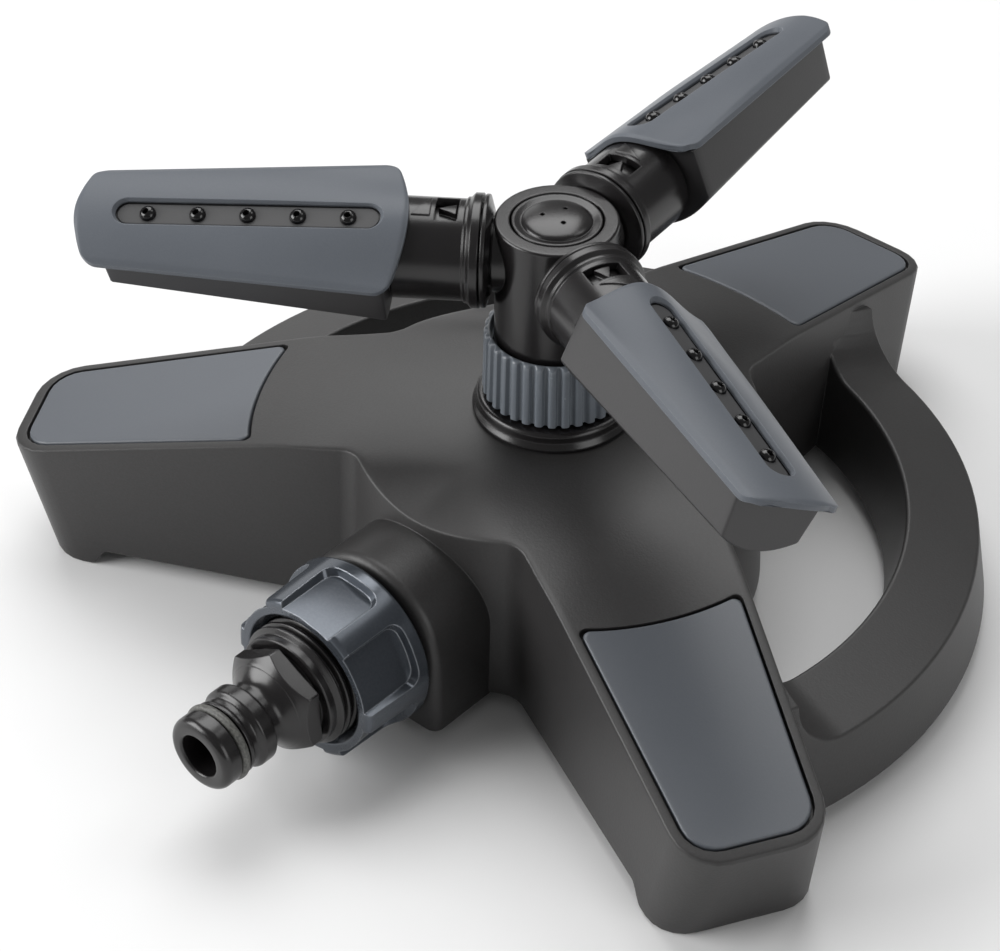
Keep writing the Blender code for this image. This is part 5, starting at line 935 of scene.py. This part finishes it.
def wedge(radius, height, start, tip, half, skew=0.0):
    # A raised arrowhead that follows the barrel; a skew of 1 puts its point over the left end of its base
    w = wedgeShape
    swing = half / radius
    point = swing * skew
    sides = shares(w.sidePoints)[1:-1]
    outline = [(start, swing * (2.0 * share - 1.0)) for share in shares(w.basePoints)]
    outline += [(blend(start, tip, share), blend(swing, point, share)) for share in sides] + [(tip, point)]
    outline += [(blend(tip, start, share), blend(point, -swing, share)) for share in sides]
    middle = (blend(start, tip, w.middle), point / 3.0)
    rings = [[onBarrel(s, radius - w.root, t) for s, t in outline]]
    for lift, share in w.layers:
        rings.append([onBarrel(blend(middle[0], s, share), radius + height * lift, blend(middle[1], t, share))
                      for s, t in outline])
    return lofted(rings)


def windowTool(s):
    half = math.radians(s.windowHalf)
    low, high = s.windowRadii
    section = ((s.windowStart, low), (s.windowEnd, low), (s.windowEnd, high), (s.windowStart, high))
    turns = [blend(-half, half, share) for share in shares(24)]
    return lofted([[onBarrel(place, radius, turn) for place, radius in section] for turn in turns])


def stubProfile(s):
    barrel, bed = s.barrel, s.barrel - s.ring + s.ringGap
    back, front = (s.ringPlace + side * (s.ring / 2.0 + s.ringGap) for side in (-1.0, 1.0))
    return softened([
        (s.bore, s.start), (s.pipe, s.start), (s.pipe, s.coneStart), (s.cone, s.coneStart, soft),
        (s.flange, s.flangeStart, soft), (s.flange, s.flangeEnd, soft), (barrel, s.flangeEnd),
        (barrel, back), (bed, back), (bed, front), (barrel, front), (barrel, s.end, soft), (s.bore, s.end)])


def sleeveProfile(s):
    ledge = s.radius + s.ledge
    return softened([
        (s.bore, s.start), (s.rim, s.start, fine), (s.rim, s.rimEnd - s.rimFall, fine),
        (ledge, s.rimEnd - s.ledge, fine), (ledge, s.rimEnd + s.ledgeEnd, fine),
        (s.radius, s.rimEnd + s.ledge, fine), (s.radius, s.end, soft), (s.spigot, s.end),
        (s.spigot, s.spigotEnd), (s.pipe, s.spigotEnd), (s.pipe, s.boreEnd), (s.bore, s.boreEnd)])


def coverSize(c, along):
    share = (min(max(along, c.start), c.end) - c.start) / (c.end - c.start)
    return share, blend(c.startHalf, c.endHalf, share), blend(c.startEdge, c.endEdge, share)


def crestHeight(along):
    return cover.crest - (along - cover.start) * math.tan(math.radians(cover.crestSlope))


def coverHeight(c, along, across):
    # Bell-shaped across near the hub, turning into a plain arch further out
    share, half, edge = coverSize(c, along)
    part = min(abs(across) / half, 1.0)
    bell = (1.0 + math.cos(math.pi * part)) / 2.0
    arch = 1.0 - part * part
    return edge + (crestHeight(along) - edge) * blend(bell, arch, easeStep(share, *c.humpFade))


def coverSpot(c, share, side):
    first = c.start - c.startBulge * (1.0 - side * side)
    last = c.end + c.endBulge * (1.0 - side * side)
    along = blend(first, last, share)
    half = coverSize(c, along)[1]
    missing = max(c.corner - min(along - first, last - along), 0.0)
    across = side * (half - c.corner + math.sqrt(max(c.corner ** 2 - missing ** 2, 0.0)))
    toEdge = min(half - abs(across), along - first, last - along)
    drop = c.chamferDrop * (1.0 - easeStep(toEdge, 0.0, c.chamfer))
    return (along, across, coverHeight(c, along, across) - drop)


def coverBm(c):
    # A grid, denser towards its edges, bent to the cover's shape and extruded to its thickness
    bm = bmesh.new()
    bmesh.ops.create_grid(bm, x_segments=c.rows, y_segments=c.columns, size=1.0)
    for vert in bm.verts:
        plain = (vert.co.x + 1.0) / 2.0
        share = blend(plain, (1.0 - math.cos(math.pi * plain)) / 2.0, c.endBunching)
        side = blend(vert.co.y, math.sin(math.pi / 2.0 * vert.co.y), c.sideBunching)
        vert.co = coverSpot(c, share, side)
    made = bmesh.ops.extrude_face_region(bm, geom=bm.faces[:])["geom"]
    lower = [item for item in made if isinstance(item, bmesh.types.BMVert)]
    bmesh.ops.translate(bm, verts=lower, vec=(0.0, 0.0, -c.thickness))
    bmesh.ops.recalc_face_normals(bm, faces=bm.faces)
    return bevelled(bm, c.edge, 2, 50.0)


def slotLoop(grow, lift):
    s = strip
    start = s.first - s.margin - grow
    end = s.first + (s.count - 1) * s.pitch + s.margin + grow
    half = s.half + grow
    outline = arcPoints((end - half, 0.0), half, -90.0, 90.0, 24)
    outline += arcPoints((start + half, 0.0), half, 90.0, 270.0, 24)
    return [(x, y, crestHeight(x) + lift) for x, y in outline]


def troughFloor(t, share, across):
    half = blend(t.floorStart, t.floorEnd, share)
    return -t.depth - blend(t.sagStart, t.sagEnd, share) * (1.0 - (across / half) ** 2)


def troughBm(t):
    # Sections along the arm, each with a sagging floor and a top that follows the cover's underside
    e, length, radius = t.edge, t.end - t.start, t.floorRound
    stations = [(0.0, e), (e * 0.3 / length, e * 0.3), (e / length, 0.0)]
    between = [(share, 0.0) for share in shares(24)[1:-1]]
    loops = []
    for share, inset in stations + between + [(1.0 - share, inset) for share, inset in stations[::-1]]:
        along = blend(t.start, t.end, share)
        topHalf = blend(t.topStart, t.topEnd, share) - inset
        floorHalf = blend(t.floorStart, t.floorEnd, share) - inset
        across = [floorHalf * (2.0 * part - 1.0) for part in shares(20)]
        floor = [(w, troughFloor(t, share, w) + inset) for w in across]
        under = cover.thickness + t.coverGap
        across = [topHalf * (1.0 - 2.0 * part) for part in shares(24)]
        top = [(w, coverHeight(cover, along, w) - under) for w in across]
        section = softened([(*floor[0], radius), *floor[1:-1], (*floor[-1], radius), *top])
        loops.append([(along, w, v) for w, v in section])
    return lofted(loops)


def nozzleBm(s, index):
    # A small dome with a countersunk hole, leaning a little further out along the arm with each nozzle
    root, height, radius, brim, hole = -s.thickness * 0.5, s.nozzleHeight, s.nozzle, s.crater, s.hole
    edgeTurn = math.acos(brim / radius)
    lift = height / math.sin(edgeTurn)
    profile = [(0.0, root), (radius, root), (radius, crisp)]
    turns = [edgeTurn * share for share in shares(9)[1:]]
    profile += [(radius * math.cos(turn), lift * math.sin(turn)) for turn in turns]
    profile += [(brim - crisp, height + crisp / 5.0), (hole, height - s.holeDepth), (hole * 0.9, -crisp),
                (0.0, -crisp)]
    along = s.first + s.pitch * index
    lean = Matrix.Rotation(math.radians(cover.crestSlope + s.fan * index), 4, "Y")
    return moved(turned(profile, 40), Matrix.Translation((along, 0.0, crestHeight(along) - s.sink)) @ lean)


def makeArm(index, angle):
    tag = str(index + 1)
    level = onAxis @ Matrix.Translation((0.0, 0.0, armHeight)) @ facing(angle)
    rolled = level @ Matrix.Rotation(math.radians(-armRoll), 4, "X")
    arm = "arm_" + tag
    t, s = stub, sleeve

    pointer = wedge(t.barrel, t.pointerHeight, t.pointerStart, t.pointerTip, t.pointerHalf)
    bm = combined(turned(stubProfile(t), along=True), pointer)
    dressed("armStub" + tag, bm, level, blackAcetal, "rotor", "arm_stub_" + tag)

    piece = asObject("armSleeve" + tag, turned(sleeveProfile(s), along=True))
    mark = wedge(s.radius, s.markHeight, s.markStart, s.markTip, s.markHalf, s.markSkew)
    carve(piece, [("DIFFERENCE", windowTool(s)), ("UNION", mark)])
    piece.data.transform(level)
    dress(piece, blackAcetal, arm, ["arm_sleeve_" + tag])

    dressed("armTrough" + tag, troughBm(trough), rolled, armAbs, arm, "arm_trough_" + tag)

    piece = asObject("armCover" + tag, coverBm(cover))
    gap, cut, bevel = strip.gap, strip.cut, strip.bevel
    slot = lofted([slotLoop(gap, -cut), slotLoop(gap, cut)])
    slope = lofted([slotLoop(gap, -bevel * 1.4), slotLoop(gap + strip.bevelReach, cut - bevel)])
    carve(piece, [("DIFFERENCE", slot), ("DIFFERENCE", slope)])
    piece.data.transform(rolled)
    dress(piece, slateCover, arm, ["arm_cover_" + tag])

    levels = ((0.0, -strip.thickness), *strip.rounding)
    plate = lofted([slotLoop(grow, lift - strip.sink) for grow, lift in levels])
    dressed("nozzleStrip" + tag, plate, rolled, stripAbs, arm, "nozzle_strip_" + tag)
    for k in range(strip.count):
        dressed(f"nozzle{tag}_{k + 1}", nozzleBm(strip, k), rolled, nozzleAcetal, arm)


for armIndex, armAngle in enumerate(armAngles):
    makeArm(armIndex, armAngle)
print("arms made")


# Nodes that keep their own shape

carried = (
    (blackAcetal, ("water_duct", "spindle", "inlet_spigot")),
    (sealRubber, ("sealing_washer", "rotor_seal", "arm_o_ring_1", "arm_o_ring_2", "arm_o_ring_3")),
    (zincSteel, ("thrust_washer", "duct_screw_1", "duct_screw_2", "duct_screw_3")))
for finish, nodeNames in carried:
    for nodeName in nodeNames:
        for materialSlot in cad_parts[nodeName].material_slots:
            materialSlot.material = finish
print("carried nodes finished")
